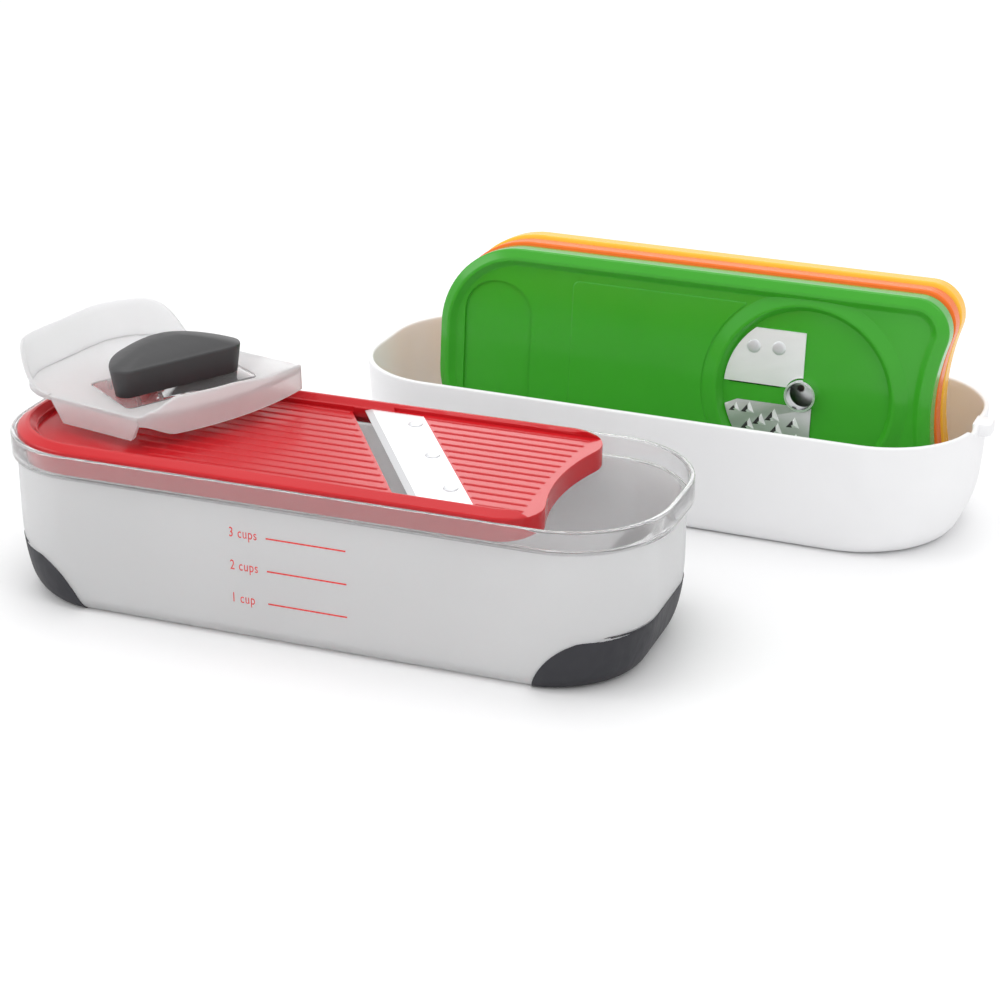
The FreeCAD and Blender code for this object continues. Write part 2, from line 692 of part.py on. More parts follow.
def make_apron(body):
    """A wall along the plate's arc at +X, as high as its peak all along."""
    sketch = new_sketch(body, "Apron", offset="-ApronDepth")
    outside, inside = (sketch.addGeometry(apron_arc(inset)) for inset in ("0", "GuardThickness"))
    for point, side in ((1, "-1"), (2, "1")):
        a, b = sketch.getPoint(outside, point), sketch.getPoint(inside, point)
        end = sketch.addGeometry(line(a.x, a.y, b.x, b.y))
        sketch.addConstraint(Sketcher.Constraint("Coincident", outside, point, end, 1))
        sketch.addConstraint(Sketcher.Constraint("Coincident", inside, point, end, 2))
        sketch.addConstraint(Sketcher.Constraint("Horizontal", end))
        dimension(sketch, "DistanceY", -1, 1, end, 1, size=f"{side} * HolderHalfWidth")
    for item, size in ((outside, "ApronRadius"), (inside, "ApronRadius - GuardThickness")):
        place(sketch, item, 3, "ApronX", "ApronY")
        dimension(sketch, "Radius", item, size=size)
    extrude("Pad", body, sketch, "ApronDepth + ApronPeak")


def knob_outline(sketch, inset, share="1"):
    """A rounded D, nearly straight along +X, moved in by inset and then scaled by share."""
    corner = f"({share} * (KnobCorner - {inset}))"
    corner_x = f"({share} * (KnobHalfWidth - KnobCorner))"
    corner_y = f"({share} * (KnobHalfLength - KnobCorner))"
    centre = f"({corner_y}^2 / (4 * {corner_x}))"
    radius = f"({centre} + {corner_x} + {corner})"
    r, x, y, c, big = (value(text) for text in (corner, corner_x, corner_y, centre, radius))
    turn = math.degrees(math.atan2(y, x - c))
    flat, high, back, low = chain(sketch, [
        line(x + r, -y, x + r, y),
        arc(x, y, r, 0, turn),
        arc(c, 0, big, turn, 360 - turn),
        arc(x, -y, r, -turn, 0),
    ])
    sketch.addConstraint(Sketcher.Constraint("Vertical", flat))
    sketch.addConstraint(Sketcher.Constraint("Equal", high, low))
    dimension(sketch, "Radius", high, size=corner)
    place(sketch, high, 3, corner_x, corner_y)
    dimension(sketch, "Radius", back, size=radius)
    sketch.addConstraint(Sketcher.Constraint("PointOnObject", back, 3, -1))


def make_knob():
    """An undercut side wall below a broad dome."""
    body = new_body("holder_knob")
    foot = new_sketch(body, "Foot")
    knob_outline(foot, "KnobUndercut")
    brim = new_sketch(body, "Brim", offset="KnobSide")
    knob_outline(brim, "0")
    loft("AdditiveLoft", body, [foot, brim])
    dome = []
    for number, share in enumerate(("0.98", "0.8", "0.55", "0.25")):
        level = new_sketch(body, f"Dome{number}",
                           offset=f"KnobSide + (KnobHeight - KnobSide) * (1 - {share}^2)")
        knob_outline(level, "0", share)
        dome.append(level)
    dome_foot = new_sketch(body, "DomeFoot", offset="KnobSide")
    knob_outline(dome_foot, "0")
    loft("AdditiveLoft", body, [dome_foot] + dome)
    return body


def make_prongs():
    """Pins below the holder's plate that stop the food from turning."""
    body = new_body("holder_prongs")
    sketch = new_sketch(body, "Pins", offset="-HolderPlate")
    for column in (-1, 0, 1):
        for line_up in (-1, 0, 1):
            circle(sketch, f"{column} * ProngPitch", f"{line_up} * ProngPitch", "ProngRadius")
    pins = extrude("Pad", body, sketch, "ProngLength", reversed_way=True)
    tip = value("-HolderPlate - ProngLength")
    dress("Chamfer", body, pins, lambda edge: abs(edge.CenterOfMass.z - tip) < 0.01,
          Size="0.7 * ProngRadius")
    return body


def rack_slots(sketch):
    """Three slanted slots, one for each insert that stands in the lid."""
    half = "(InsertThickness / 2 + RackClearance)"
    shift = "(tan(SpareLean * 1 deg) * (RackHeight + 2 - RackSeat))"
    for step in range(3):
        y = f"(SpareY + {step} * SparePitch)"
        polygon(sketch, [(f"{y} - {half}", "RackSeat"), (f"{y} + {half}", "RackSeat"),
                         (f"{y} + {half} + {shift}", "RackHeight + 2"),
                         (f"{y} - {half} + {shift}", "RackHeight + 2")])


def make_lid():
    sides = (LID_X, LID_Y)
    body = new_body("lid")
    tub("AdditiveLoft", body, "Outside", sides, "RimRadius", LID_HEIGHTS)
    tub("SubtractiveLoft", body, "Hollow", sides, "RimRadius", LID_HEIGHTS,
        inset="LidWall", lift="LidFloor")
    lug = new_sketch(body, "Lug", offset="LidHeight - LugHeight")
    reach = "ContainerLength / 2 + LugReach"
    polygon(lug, [("ContainerLength / 2 - 1.5", "-6"), (reach, "-5"), (reach, "3"),
                  ("ContainerLength / 2 - 1.5", "4")])
    extrude("Pad", body, lug, "LugHeight")
    notch = new_sketch(body, "Notch", offset="LidHeight")
    polygon(notch, [("ContainerLength / 2 - 8", "-13"), ("ContainerLength / 2 + 8", "-13"),
                    ("ContainerLength / 2 + 8", "-6.5"), ("ContainerLength / 2 - 8", "-6.5")])
    extrude("Pocket", body, notch, "NotchDepth")
    for name, side in (("RackLeft", "-RackX"), ("RackRight", "RackX")):
        rack = new_sketch(body, name, plane="YZ_Plane", offset=f"{side} - RackThickness / 2")
        half = "(InsertThickness / 2 + RackClearance + 2.5)"
        last = "(SpareY + 2 * SparePitch)"
        polygon(rack, [(f"SpareY - {half}", "LidFloor - 0.5"), (f"{last} + {half} + 1.5",
                       "LidFloor - 0.5"), (f"{last} + {half} + 1.5", "RackHeight"),
                       (f"SpareY - {half}", "RackHeight")])
        extrude("Pad", body, rack, "RackThickness")
        slots = new_sketch(body, f"{name}Slots", plane="YZ_Plane",
                           offset=f"{side} - RackThickness / 2 - 1")
        rack_slots(slots)
        extrude("Pocket", body, slots, "RackThickness + 2", reversed_way=True)
    return body


def well_point(y, radius):
    """Where the well's left side meets a height, at a radius about the well's centre."""
    return f"(WellX - sqrt(({radius})^2 - ({y} - WellY)^2))"


def sector(sketch, low, high, right, cut):
    """The part of the well's floor that lies left of a line and between two heights."""
    radius = "(WellRadius - WellMargin)"
    low_x, high_x = well_point(low, radius), well_point(high, radius)
    spots = [(low_x, low), (right, low), (right, high), (high_x, high)]
    if cut:
        spots = [(low_x, low), (f"{right} - 6", low), (right, f"{low} + 3.5"), (right, high),
                 (high_x, high)]
    points = [Vector(value(x), value(y), 0) for x, y in spots]
    edges = [Part.LineSegment(a, b) for a, b in zip(points, points[1:])]
    cx, cy, r = value("WellX"), value("WellY"), value(radius)
    start = math.degrees(math.atan2(points[-1].y - cy, points[-1].x - cx)) % 360
    end = math.degrees(math.atan2(points[0].y - cy, points[0].x - cx)) % 360
    items = chain(sketch, edges + [arc(cx, cy, r, start, end)], kind="Coincident")
    for item, spot in zip(items, spots):
        place(sketch, item, 1, *spot)
    dimension(sketch, "Radius", items[-1], size=radius)


def curly_rivets(sketch, radius):
    circle(sketch, "9.7", "16", radius)
    circle(sketch, "19.8", "16.3", radius)


def make_curly_plate():
    body = make_insert("curly_plate")
    panel = new_sketch(body, "Panel", offset=f"{DECK_Z} - 1")
    rounded_box(panel, "PanelLeft", "PanelRight", "PanelHalfWidth", "3")
    extrude("Pad", body, panel, "PanelRise + 1")
    ring = new_sketch(body, "Ring", offset=f"{DECK_Z} - 1")
    circle(ring, "WellX", "WellY", "RingRadius")
    extrude("Pad", body, ring, "RingRise + 1")
    well = new_sketch(body, "Well", offset="InsertThickness")
    circle(well, "WellX", "WellY", "WellRadius")
    extrude("Pocket", body, well, f"InsertThickness - {WELL_Z}")
    slot = new_sketch(body, "Slot", offset=WELL_Z)
    polygon(slot, [("0.5", "CurlyEdge - 5"), ("CurlyRight - 9", "CurlyEdge - 5"),
                   ("CurlyRight - 9", "CurlyEdge + 2"), ("0.5", "CurlyEdge + 2")])
    extrude("Pocket", body, slot, WELL_Z)
    bore = new_sketch(body, "Bore", offset=WELL_Z)
    circle(bore, "WellX", "WellY", "TubeRadius")
    curly_rivets(bore, "RivetRadius")
    extrude("Pocket", body, bore, WELL_Z)
    add_grip(body, DECK_Z)
    return body


def clear_tube(body, top):
    """Cut a sheet clear of the insert's centre tube."""
    clearance = new_sketch(body, "TubeClearance", offset=top)
    circle(clearance, "WellX", "WellY", "TubeRadius + 0.4")
    extrude("Pocket", body, clearance, "4")


def make_curly_blade():
    body = new_body("curly_blade")
    outline = new_sketch(body, "Outline", offset=WELL_Z)
    sector(outline, "CurlyEdge", "CurlyTop", "CurlyRight", cut=True)
    extrude("Pad", body, outline, "SheetThickness")
    holes = new_sketch(body, "Holes", offset=f"{WELL_Z} + SheetThickness")
    curly_rivets(holes, "RivetRadius")
    extrude("Pocket", body, holes, "SheetThickness")
    clear_tube(body, f"{WELL_Z} + 3")
    return body


def add_tooth(body, name, x, y, base, radius):
    """One punched tooth: an upright cone with a blunt tip, on a sheet."""
    tooth = body.newObject("PartDesign::AdditiveCone", name)
    tooth.Radius1 = value(radius)
    tooth.setExpression("Radius1", formula(radius))
    tooth.Radius2 = 0.25
    tooth.Height = value("ToothHeight")
    tooth.setExpression("Height", formula("ToothHeight"))
    support = [item for item in body.Origin.OriginFeatures if item.Role == "XY_Plane"][0]
    tooth.AttachmentSupport = [(support, "")]
    tooth.MapMode = "FlatFace"
    tooth.AttachmentOffset = Placement(Vector(value(x), value(y), value(base)), Rotation())
    return tooth


def make_curly_teeth():
    body = new_body("curly_tooth_plate")
    outline = new_sketch(body, "Outline", offset=WELL_Z)
    sector(outline, "-27.5", "ToothTop", "ToothRight", cut=False)
    extrude("Pad", body, outline, "SheetThickness")
    clear_tube(body, f"{WELL_Z} + 3")
    spots = [(4, -11), (11, -10), (24, -11.5), (17, -14), (29, -15), (11, -17), (22, -19),
             (16, -22), (28, -22), (31, -10)]
    for number, (x, y) in enumerate(spots):
        add_tooth(body, f"Tooth{number}", x, y, f"{WELL_Z} + SheetThickness - 0.1", "1.5")
    return body


def make_tube():
    body = new_body("curly_center_tube")
    outside = new_sketch(body, "Outside", offset="SkirtDepth")
    circle(outside, "WellX", "WellY", "TubeRadius")
    extrude("Pad", body, outside, "TubeTop - SkirtDepth")
    bore = new_sketch(body, "Bore", offset="TubeTop")
    circle(bore, "WellX", "WellY", "TubeRadius - TubeWall")
    extrude("Pocket", body, bore, "TubeTop - SkirtDepth")
    return body


def grater_rivets(sketch, radius):
    for x in ("WindowLeft - 3", "WindowRight + 3"):
        for side in (-1, 1):
            circle(sketch, x, f"{side} * (WindowHalfWidth - 8)", radius)


def make_grater_plate(name):
    """An insert with a window and a rebate that holds a grating sheet."""
    body = make_insert(name)
    window = new_sketch(body, "Window", offset="InsertThickness")
    rounded_box(window, "WindowLeft", "WindowRight", "WindowHalfWidth", "WindowRadius")
    extrude("Pocket", body, window, "InsertThickness")
    rebate = new_sketch(body, "Rebate", offset=DECK_Z)
    rounded_box(rebate, "WindowLeft - SheetMargin", "WindowRight + SheetMargin",
                "(WindowHalfWidth + SheetMargin)", "WindowRadius + 2")
    extrude("Pocket", body, rebate, "SheetThickness")
    holes = new_sketch(body, "Holes", offset=DECK_Z)
    grater_rivets(holes, SMALL_RIVET)
    extrude("Pocket", body, holes, DECK_Z)
    add_grip(body, DECK_Z)
    return body


def make_grater_sheet(name, pitch, radius):
    """A steel sheet with rows of teeth, each with its opening beside it."""
    body = new_body(name)
    base = f"{DECK_Z} - SheetThickness"
    outline = new_sketch(body, "Outline", offset=base)
    rounded_box(outline, "WindowLeft - SheetMargin + 0.2", "WindowRight + SheetMargin - 0.2",
                "(WindowHalfWidth + SheetMargin - 0.2)", "WindowRadius + 2")
    extrude("Pad", body, outline, "SheetThickness")
    holes = new_sketch(body, "Holes", offset=DECK_Z)
    grater_rivets(holes, SMALL_RIVET)
    extrude("Pocket", body, holes, "SheetThickness")
    columns = int(value(f"(WindowRight - WindowLeft - 8) / {pitch}"))
    rows = int(value(f"(2 * WindowHalfWidth - 6) / {pitch}"))
    x, y = "(WindowLeft + 7)", "(5 - WindowHalfWidth)"
    opening = new_sketch(body, "Opening", offset=DECK_Z)
    circle(opening, f"{x} + 0.42 * {pitch}", y, f"0.62 * {radius}")
    hole = extrude("Pocket", body, opening, "SheetThickness")
    tooth = add_tooth(body, "Tooth", x, y, f"{DECK_Z} - 0.1", f"0.7 * {radius}")
    pattern = body.newObject("PartDesign::MultiTransform", "Teeth")
    pattern.Originals = [hole, tooth]
    steps = []
    for axis, count in (("X_Axis", columns), ("Y_Axis", rows)):
        step = document.addObject("PartDesign::LinearPattern", f"{axis}Rows")
        direction = [item for item in body.Origin.OriginFeatures if item.Role == axis][0]
        step.Direction = (direction, [""])
        step.Occurrences = count
        step.Length = (count - 1) * value(pitch)
        body.addObject(step)
        steps.append(step)
    pattern.Transformations = steps
    body.Tip = pattern
    return body


def in_place(x, y, z, yaw, turn=0.0):
    """A placement turned about X first, then about Z, then moved."""
    spin = Rotation(Vector(0, 0, 1), yaw).multiply(Rotation(Vector(1, 0, 0), turn))
    return Placement(Vector(x, y, z), spin)


blank = make_container()
foot_right = make_foot("foot_right", "0")
recess_right = make_foot("recess_right", "-0.5")
foot_left, recess_left = (
    document.addObject("Part::Mirroring", name) for name in ("foot_left", "recess_left"))
for mirrored, source in ((foot_left, foot_right), (recess_left, recess_right)):
    mirrored.Source = source
    mirrored.Normal = Vector(1, 0, 0)
recessed = document.addObject("Part::Cut", "recessed")
recessed.Base = blank
recessed.Tool = recess_right
container = document.addObject("Part::Cut", "container")
container.Base = recessed
container.Tool = recess_left

top = f"{DECK_Z} + BladeProud"
slicing = [make_slicing_plate(), make_slicing_blade(),
           make_rivets("slicing_blade_rivets", slicing_rivets, "RivetRadius", "SkirtDepth", top)]
holder = [make_holder(), make_prongs()]
knob = make_knob()
lid = make_lid()
curly = [make_curly_plate(), make_curly_blade(), make_curly_teeth(), make_tube(),
         make_rivets("curly_blade_rivets", curly_rivets, "RivetRadius", "SkirtDepth",
                     f"{WELL_Z} + SheetThickness")]
coarse = [make_grater_plate("coarse_plate"),
          make_grater_sheet("coarse_sheet", "CoarsePitch", "CoarseRadius"),
          make_rivets("coarse_rivets", grater_rivets, SMALL_RIVET, "SkirtDepth", DECK_Z)]
fine = [make_grater_plate("fine_plate"),
        make_grater_sheet("fine_sheet", "FinePitch", "FineRadius"),
        make_rivets("fine_rivets", grater_rivets, SMALL_RIVET, "SkirtDepth", DECK_Z)]

for piece in slicing:
    piece.Placement = Placement(Vector(0, 0, value(f"{LEDGE_Z} + InsertLift")), Rotation())
seat = in_place(value("HolderX"), value("HolderY"), value("HolderZ"), value("HolderYaw"),
                value("HolderTilt"))
for piece in holder:
    piece.Placement = seat
knob.Placement = seat.multiply(in_place(value("KnobX"), value("KnobY"), 0, value("KnobYaw")))
shelf = in_place(value("LidX"), value("LidY"), 0, value("LidYaw"))
lid.Placement = shelf
lean = value("SpareLean")
rise, shift = math.cos(math.radians(lean)), math.sin(math.radians(lean))
half_width, half_depth = value(INSERT_Y), value("InsertThickness / 2")
for step, pieces in enumerate((curly, coarse, fine)):
    stand = in_place(
        value("SpareX"),
        value(f"SpareY + {step} * SparePitch") + half_width * shift + half_depth * rise,
        value("SpareZ") + half_width * rise - half_depth * shift, 0, 90 - lean)
    for piece in pieces:
        piece.Placement = shelf.multiply(stand)

document.recompute()
pieces = [container, foot_left, foot_right, *slicing, *holder, knob, lid, *curly, *coarse, *fine]
for item in document.Objects:
    if "Invalid" in item.State or "Error" in item.State:
        raise RuntimeError(f"{item.Name} did not build")
os.makedirs("parts", exist_ok=True)
for piece in pieces:
    if piece.Shape.isNull() or not piece.Shape.isValid():
        raise RuntimeError(f"{piece.Label} is not a sound solid")
    piece.Shape.exportStep(f"parts/{piece.Label}.step")
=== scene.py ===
import math

import bmesh
import bpy
from mathutils import Matrix, Vector


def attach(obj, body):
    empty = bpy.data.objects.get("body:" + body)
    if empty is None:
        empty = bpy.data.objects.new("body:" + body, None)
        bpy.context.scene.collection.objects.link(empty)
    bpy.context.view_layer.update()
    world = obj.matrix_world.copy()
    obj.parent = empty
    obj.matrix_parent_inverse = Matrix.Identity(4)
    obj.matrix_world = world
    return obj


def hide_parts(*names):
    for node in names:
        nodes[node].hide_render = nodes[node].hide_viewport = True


# Mandoline slicer set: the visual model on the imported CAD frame. Shapes are drawn in
# millimetres and placed in the frame in metres.

MM = 0.001
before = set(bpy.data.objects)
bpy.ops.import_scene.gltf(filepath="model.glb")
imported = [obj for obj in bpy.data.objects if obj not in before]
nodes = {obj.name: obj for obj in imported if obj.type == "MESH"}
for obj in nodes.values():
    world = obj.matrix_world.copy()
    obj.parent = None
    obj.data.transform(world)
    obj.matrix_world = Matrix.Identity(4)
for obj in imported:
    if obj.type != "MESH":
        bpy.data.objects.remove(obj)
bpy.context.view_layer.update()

# ---------------------------------------------------------------- sizes, in millimetres
# Container: half lengths, half widths and corners of its rim and wall, and heights.
RIM_X, RIM_Y, RIM_R, RIM_Z = 125.0, 45.6, 37.0, 60.2
WALL_X, WALL_Y, WALL_R, WALL_THICK = 121.3, 43.4, 30.8, 2.0
BAND_Z, LEDGE_Z = 51.9, 52.6
# How far the wall draws in towards the base at its ends and sides, and from what height.
END_INSET, END_RISE, SIDE_INSET, SIDE_RISE = 9.6, 31.0, 4.3, 9.6
FOOT_TOP, FOOT_SHOULDER, FOOT_SWEEP, FOOT_PROUD = 20.7, 111.3, 26.3, 0.25
MARK_PITCH, MARK_LOW, MARK_LEFT, MARK_RIGHT = 12.4, 15.9, -10.8, 19.2
# Inserts: outline, wavy end, thickness, deck height and the lip's width.
INSERT_X, INSERT_Y, INSERT_R, INSERT_END = 122.5, 43.1, 34.5, 85.5
WAVE, LOBE_R, THICK, DECK, DISH = 4.4, 13.5, 10.0, 7.9, 7.3
INSERT_Z = 52.9
SLOPE = 0.672  # the slicing blade's slant, X per Y
# Lid: height, floor, wall, draft, and how it rounds to its base.
LID_Z, LID_FLOOR, LID_WALL, LID_DRAFT, LID_RISE, LID_SIDE = 46.2, 2.4, 2.2, 2.4, 24.3, 5.0
# Slicing insert: the ramp sits below the deck; ribs run along X.
RAMP_Z, RIB_COUNT, RIB_PITCH = DECK - 1.6, 14, 5.2
BLADE_HALF, BLADE_LEFT, BLADE_WIDTH = 35.3, 15.8, 23.3
# Curly insert: the centres of its well and ring.
WELL = (30.0, -1.0)
RING_CENTRE = (31.2, -1.0)
WELL_R, WELL_Z, RING_R = 33.5, 6.5, 41.0

BELOW, ABOVE = -5.0, 20.0  # cutters that go right through a plate, or out of its top

PLATE_PLACE = Matrix.Translation((0, 0, INSERT_Z))
HOLDER_PLACE = (Matrix.Translation((-80.5, 11.0, 72.8)) @ Matrix.Rotation(math.radians(-12), 4, "Z")
                @ Matrix.Rotation(math.radians(1.5), 4, "X"))
KNOB_PLACE = (HOLDER_PLACE @ Matrix.Translation((5, 1, 0))
              @ Matrix.Rotation(math.radians(-22), 4, "Z"))
LID_PLACE = Matrix.Translation((74.8, 147.5, 0)) @ Matrix.Rotation(math.radians(-1.6), 4, "Z")


def spare_place(step):
    """Where the stored insert number step stands in the lid."""
    lean = math.radians(5.7)
    x, y, z = 25.0, -6.9 + step * 10.4, 5.5
    y += INSERT_Y * math.sin(lean) + THICK / 2 * math.cos(lean)
    z += INSERT_Y * math.cos(lean) - THICK / 2 * math.sin(lean)
    return (LID_PLACE @ Matrix.Translation((x, y, z))
            @ Matrix.Rotation(math.radians(90) - lean, 4, "X"))


# ---------------------------------------------------------------- mesh helpers
def arc(cx, cy, r, start, end, count):
    """count points from start, leaving out end; angles in degrees."""
    angles = [math.radians(start + (end - start) * i / count) for i in range(count)]
    return [(cx + r * math.cos(a), cy + r * math.sin(a)) for a in angles]


def run(x0, y0, x1, y1, count):
    return [(x0 + (x1 - x0) * i / count, y0 + (y1 - y0) * i / count) for i in range(count)]


def rounded(hx, hy, r, turns=16, side=12, end=5):
    """A rounded rectangle's outline, anticlockwise from its front left."""
    r = min(r, hx - 0.01, hy - 0.01)
    return (run(r - hx, -hy, hx - r, -hy, side) + arc(hx - r, r - hy, r, 270, 360, turns)
            + run(hx, r - hy, hx, hy - r, end) + arc(hx - r, hy - r, r, 0, 90, turns)
            + run(hx - r, hy, r - hx, hy, side) + arc(r - hx, hy - r, r, 90, 180, turns)
            + run(-hx, hy - r, -hx, r - hy, end) + arc(r - hx, r - hy, r, 180, 270, turns))


def wavy(inset):
    """The inserts' outline moved in by inset."""
    a, b, y = INSERT_R - inset, LOBE_R - inset, INSERT_Y - inset
    x0, x1, lobe_y = inset - INSERT_X, INSERT_END - LOBE_R, INSERT_Y - LOBE_R
    wave = ((LOBE_R - WAVE) ** 2 + lobe_y ** 2 - LOBE_R ** 2) / (2 * WAVE)
    wave_x = INSERT_END - WAVE + wave
    turn = math.degrees(math.atan2(lobe_y, wave_x - x1))
    return (run(x0 + a, -y, x1, -y, 16) + arc(x1, b - y, b, 270, 360 + turn, 14)
            + arc(wave_x, 0, wave + inset, 180 + turn, 180 - turn, 24)
            + arc(x1, y - b, b, -turn, 90, 14) + run(x1, y, x0 + a, y, 16)
            + arc(x0 + a, y - a, a, 90, 180, 20) + run(x0, y - a, x0, a - y, 4)
            + arc(x0 + a, a - y, a, 180, 270, 20))


def soften(points, radius, steps=4):
    """A polyline with its inner corners rounded; a point may carry its own radius."""
    out = [points[0][:2]]
    for before, here, after in zip(points, points[1:], points[2:]):
        size = here[2] if len(here) > 2 else radius
        a, p, c = Vector(before[:2]), Vector(here[:2]), Vector(after[:2])
        if size <= 0:
            out.append(tuple(p))
            continue
        into, away = (p - a), (c - p)
        reach = min(size, 0.45 * into.length, 0.45 * away.length)
        start, end = p - into.normalized() * reach, p + away.normalized() * reach
        for i in range(steps + 1):
            t = i / steps
            out.append(tuple((1 - t) ** 2 * start + 2 * t * (1 - t) * p + t * t * end))
    out.append(points[-1][:2])
    return out


def make(name, vertices, faces, place, body, slot, material, sharp=38):
    """An object from millimetre vertices, placed in the row frame, riding on a body."""
    mesh = bpy.data.meshes.new(name)
    mesh.from_pydata([tuple((place @ Vector(v)) * MM) for v in vertices], [], faces)
    work = bmesh.new()
    work.from_mesh(mesh)
    bmesh.ops.remove_doubles(work, verts=work.verts, dist=1e-7)
    bmesh.ops.recalc_face_normals(work, faces=work.faces)
    work.to_mesh(mesh)
    work.free()
    obj = bpy.data.objects.new(name, mesh)
    bpy.context.scene.collection.objects.link(obj)
    shade(obj, sharp)
    if material:
        mesh.materials.append(material)
    if body:
        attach(obj, body)
    return obj


def shade(obj, sharp=38):
    obj.data.polygons.foreach_set("use_smooth", [True] * len(obj.data.polygons))
    obj.data.set_sharp_from_angle(angle=math.radians(sharp))


def skin(rings, closed=True):
    """Vertices and faces of a surface through rings of equal length."""
    count = len(rings[0])
    vertices = [v for ring in rings for v in ring]
    faces = []
    levels = len(rings)
    for i in range(levels - 1):
        k = i + 1
        for j in range(count):
            n = (j + 1) % count
            faces.append((i * count + j, i * count + n, k * count + n, k * count + j))
    if closed:
        faces.append(tuple(range(count)))
        faces.append(tuple(range((levels - 1) * count, levels * count)))
    return vertices, faces


def ring(outline, z):
    return [(x, y, z) for x, y in outline]


def prism(outline, low, high):
    return skin([ring(outline, low), ring(outline, high)])


def flatten(obj):
    """Turn an object's modifiers into its mesh."""
    bpy.context.view_layer.update()
    graph = bpy.context.evaluated_depsgraph_get()
    mesh = bpy.data.meshes.new_from_object(obj.evaluated_get(graph))
    obj.modifiers.clear()
    obj.data = mesh


def cut(obj, shapes, place):
    """Take prisms, each (outline, low, high), out of an object."""
    for outline, low, high in shapes:
        cutter = make("cutter", *prism(outline, low, high), place, None, None, None)
        modifier = obj.modifiers.new("cut", "BOOLEAN")
        modifier.operation = "DIFFERENCE"
        modifier.solver = "EXACT"
        modifier.object = cutter
        flatten(obj)
        bpy.data.objects.remove(cutter)


def bevel(obj, width, angle=40, segments=2):
    modifier = obj.modifiers.new("bevel", "BEVEL")
    modifier.width = width * MM
    modifier.segments = segments
    modifier.limit_method = "ANGLE"
    modifier.angle_limit = math.radians(angle)
    modifier.harden_normals = True


def even_normals(obj):
    """Keep flat faces flat beside rounded edges."""
    modifier = obj.modifiers.new("normals", "WEIGHTED_NORMAL")
    modifier.keep_sharp = True
    modifier.weight = 80


def join(target, *others):
    """Move other objects' meshes into target's mesh."""
    work = bmesh.new()
    work.from_mesh(target.data)
    for other in others:
        work.from_mesh(other.data)
        bpy.data.objects.remove(other)
    work.to_mesh(target.data)
    work.free()


# ---------------------------------------------------------------- materials
def tree_of(name):
    material = bpy.data.materials.new(name)
    material.use_nodes = True
    tree = material.node_tree
    return material, tree, tree.nodes["Principled BSDF"]


def noise(tree, scale, detail=3.0, stretch=None, distortion=0.0):
    """A noise texture in object space."""
    place = tree.nodes.new("ShaderNodeTexCoord")
    mapping = tree.nodes.new("ShaderNodeMapping")
    mapping.inputs["Scale"].default_value = stretch or (1, 1, 1)
    texture = tree.nodes.new("ShaderNodeTexNoise")
    texture.inputs["Scale"].default_value = scale
    texture.inputs["Detail"].default_value = detail
    texture.inputs["Distortion"].default_value = distortion
    tree.links.new(place.outputs["Object"], mapping.inputs["Vector"])
    tree.links.new(mapping.outputs["Vector"], texture.inputs["Vector"])
    return texture


def spread(tree, source, low, high, start=0.3, end=0.7):
    """Map a texture's middle range onto low..high."""
    node = tree.nodes.new("ShaderNodeMapRange")
    node.inputs["From Min"].default_value = start
    node.inputs["From Max"].default_value = end
    node.inputs["To Min"].default_value = low
    node.inputs["To Max"].default_value = high
    tree.links.new(source, node.inputs["Value"])
    return node.outputs["Result"]


def colour_mix(tree, source, first, second):
    ramp = tree.nodes.new("ShaderNodeValToRGB")
    ramp.color_ramp.elements[0].position = 0.3
    ramp.color_ramp.elements[1].position = 0.7
    ramp.color_ramp.elements[0].color = (*first, 1)
    ramp.color_ramp.elements[1].color = (*second, 1)
    tree.links.new(source, ramp.inputs["Fac"])
    return ramp.outputs["Color"]


def bump(tree, shader, source, strength, distance):
    node = tree.nodes.new("ShaderNodeBump")
    node.inputs["Strength"].default_value = strength
    node.inputs["Distance"].default_value = distance
    tree.links.new(source, node.inputs["Height"])
    tree.links.new(node.outputs["Normal"], shader.inputs["Normal"])


def plastic(name, colour, shade_colour, low, high, grain=900, depth=0.00002, strength=0.1,
            soft=0.0, gleam=0.5):
    """Moulded plastic: faint flow in its colour, handling marks in its gloss, a fine skin."""
    material, tree, shader = tree_of(name)
    flow = noise(tree, 28, 4, distortion=0.6)
    tree.links.new(colour_mix(tree, flow.outputs["Fac"], shade_colour, colour),
                   shader.inputs["Base Color"])
    marks = noise(tree, 160, 6, stretch=(1, 3, 1), distortion=0.3)
    tree.links.new(spread(tree, marks.outputs["Fac"], low, high), shader.inputs["Roughness"])
    fine = noise(tree, grain, 2)
    bump(tree, shader, fine.outputs["Fac"], strength, depth)
    shader.inputs["Specular IOR Level"].default_value = gleam
    shader.inputs["Subsurface Weight"].default_value = soft
    shader.inputs["Subsurface Radius"].default_value = (0.003, 0.003, 0.003)
    shader.inputs["Subsurface Scale"].default_value = 1.0
    return material


def steel(name, colour, low, high, stretch=(1, 30, 1), scale=90):
    material, tree, shader = tree_of(name)
    grind = noise(tree, scale, 8, stretch=stretch)
    tree.links.new(colour_mix(tree, grind.outputs["Fac"], tuple(c * 0.975 for c in colour), colour),
                   shader.inputs["Base Color"])
    tree.links.new(spread(tree, grind.outputs["Fac"], low, high), shader.inputs["Roughness"])
    shader.inputs["Metallic"].default_value = 1.0
    bump(tree, shader, grind.outputs["Fac"], 0.01, 0.00001)
    return material


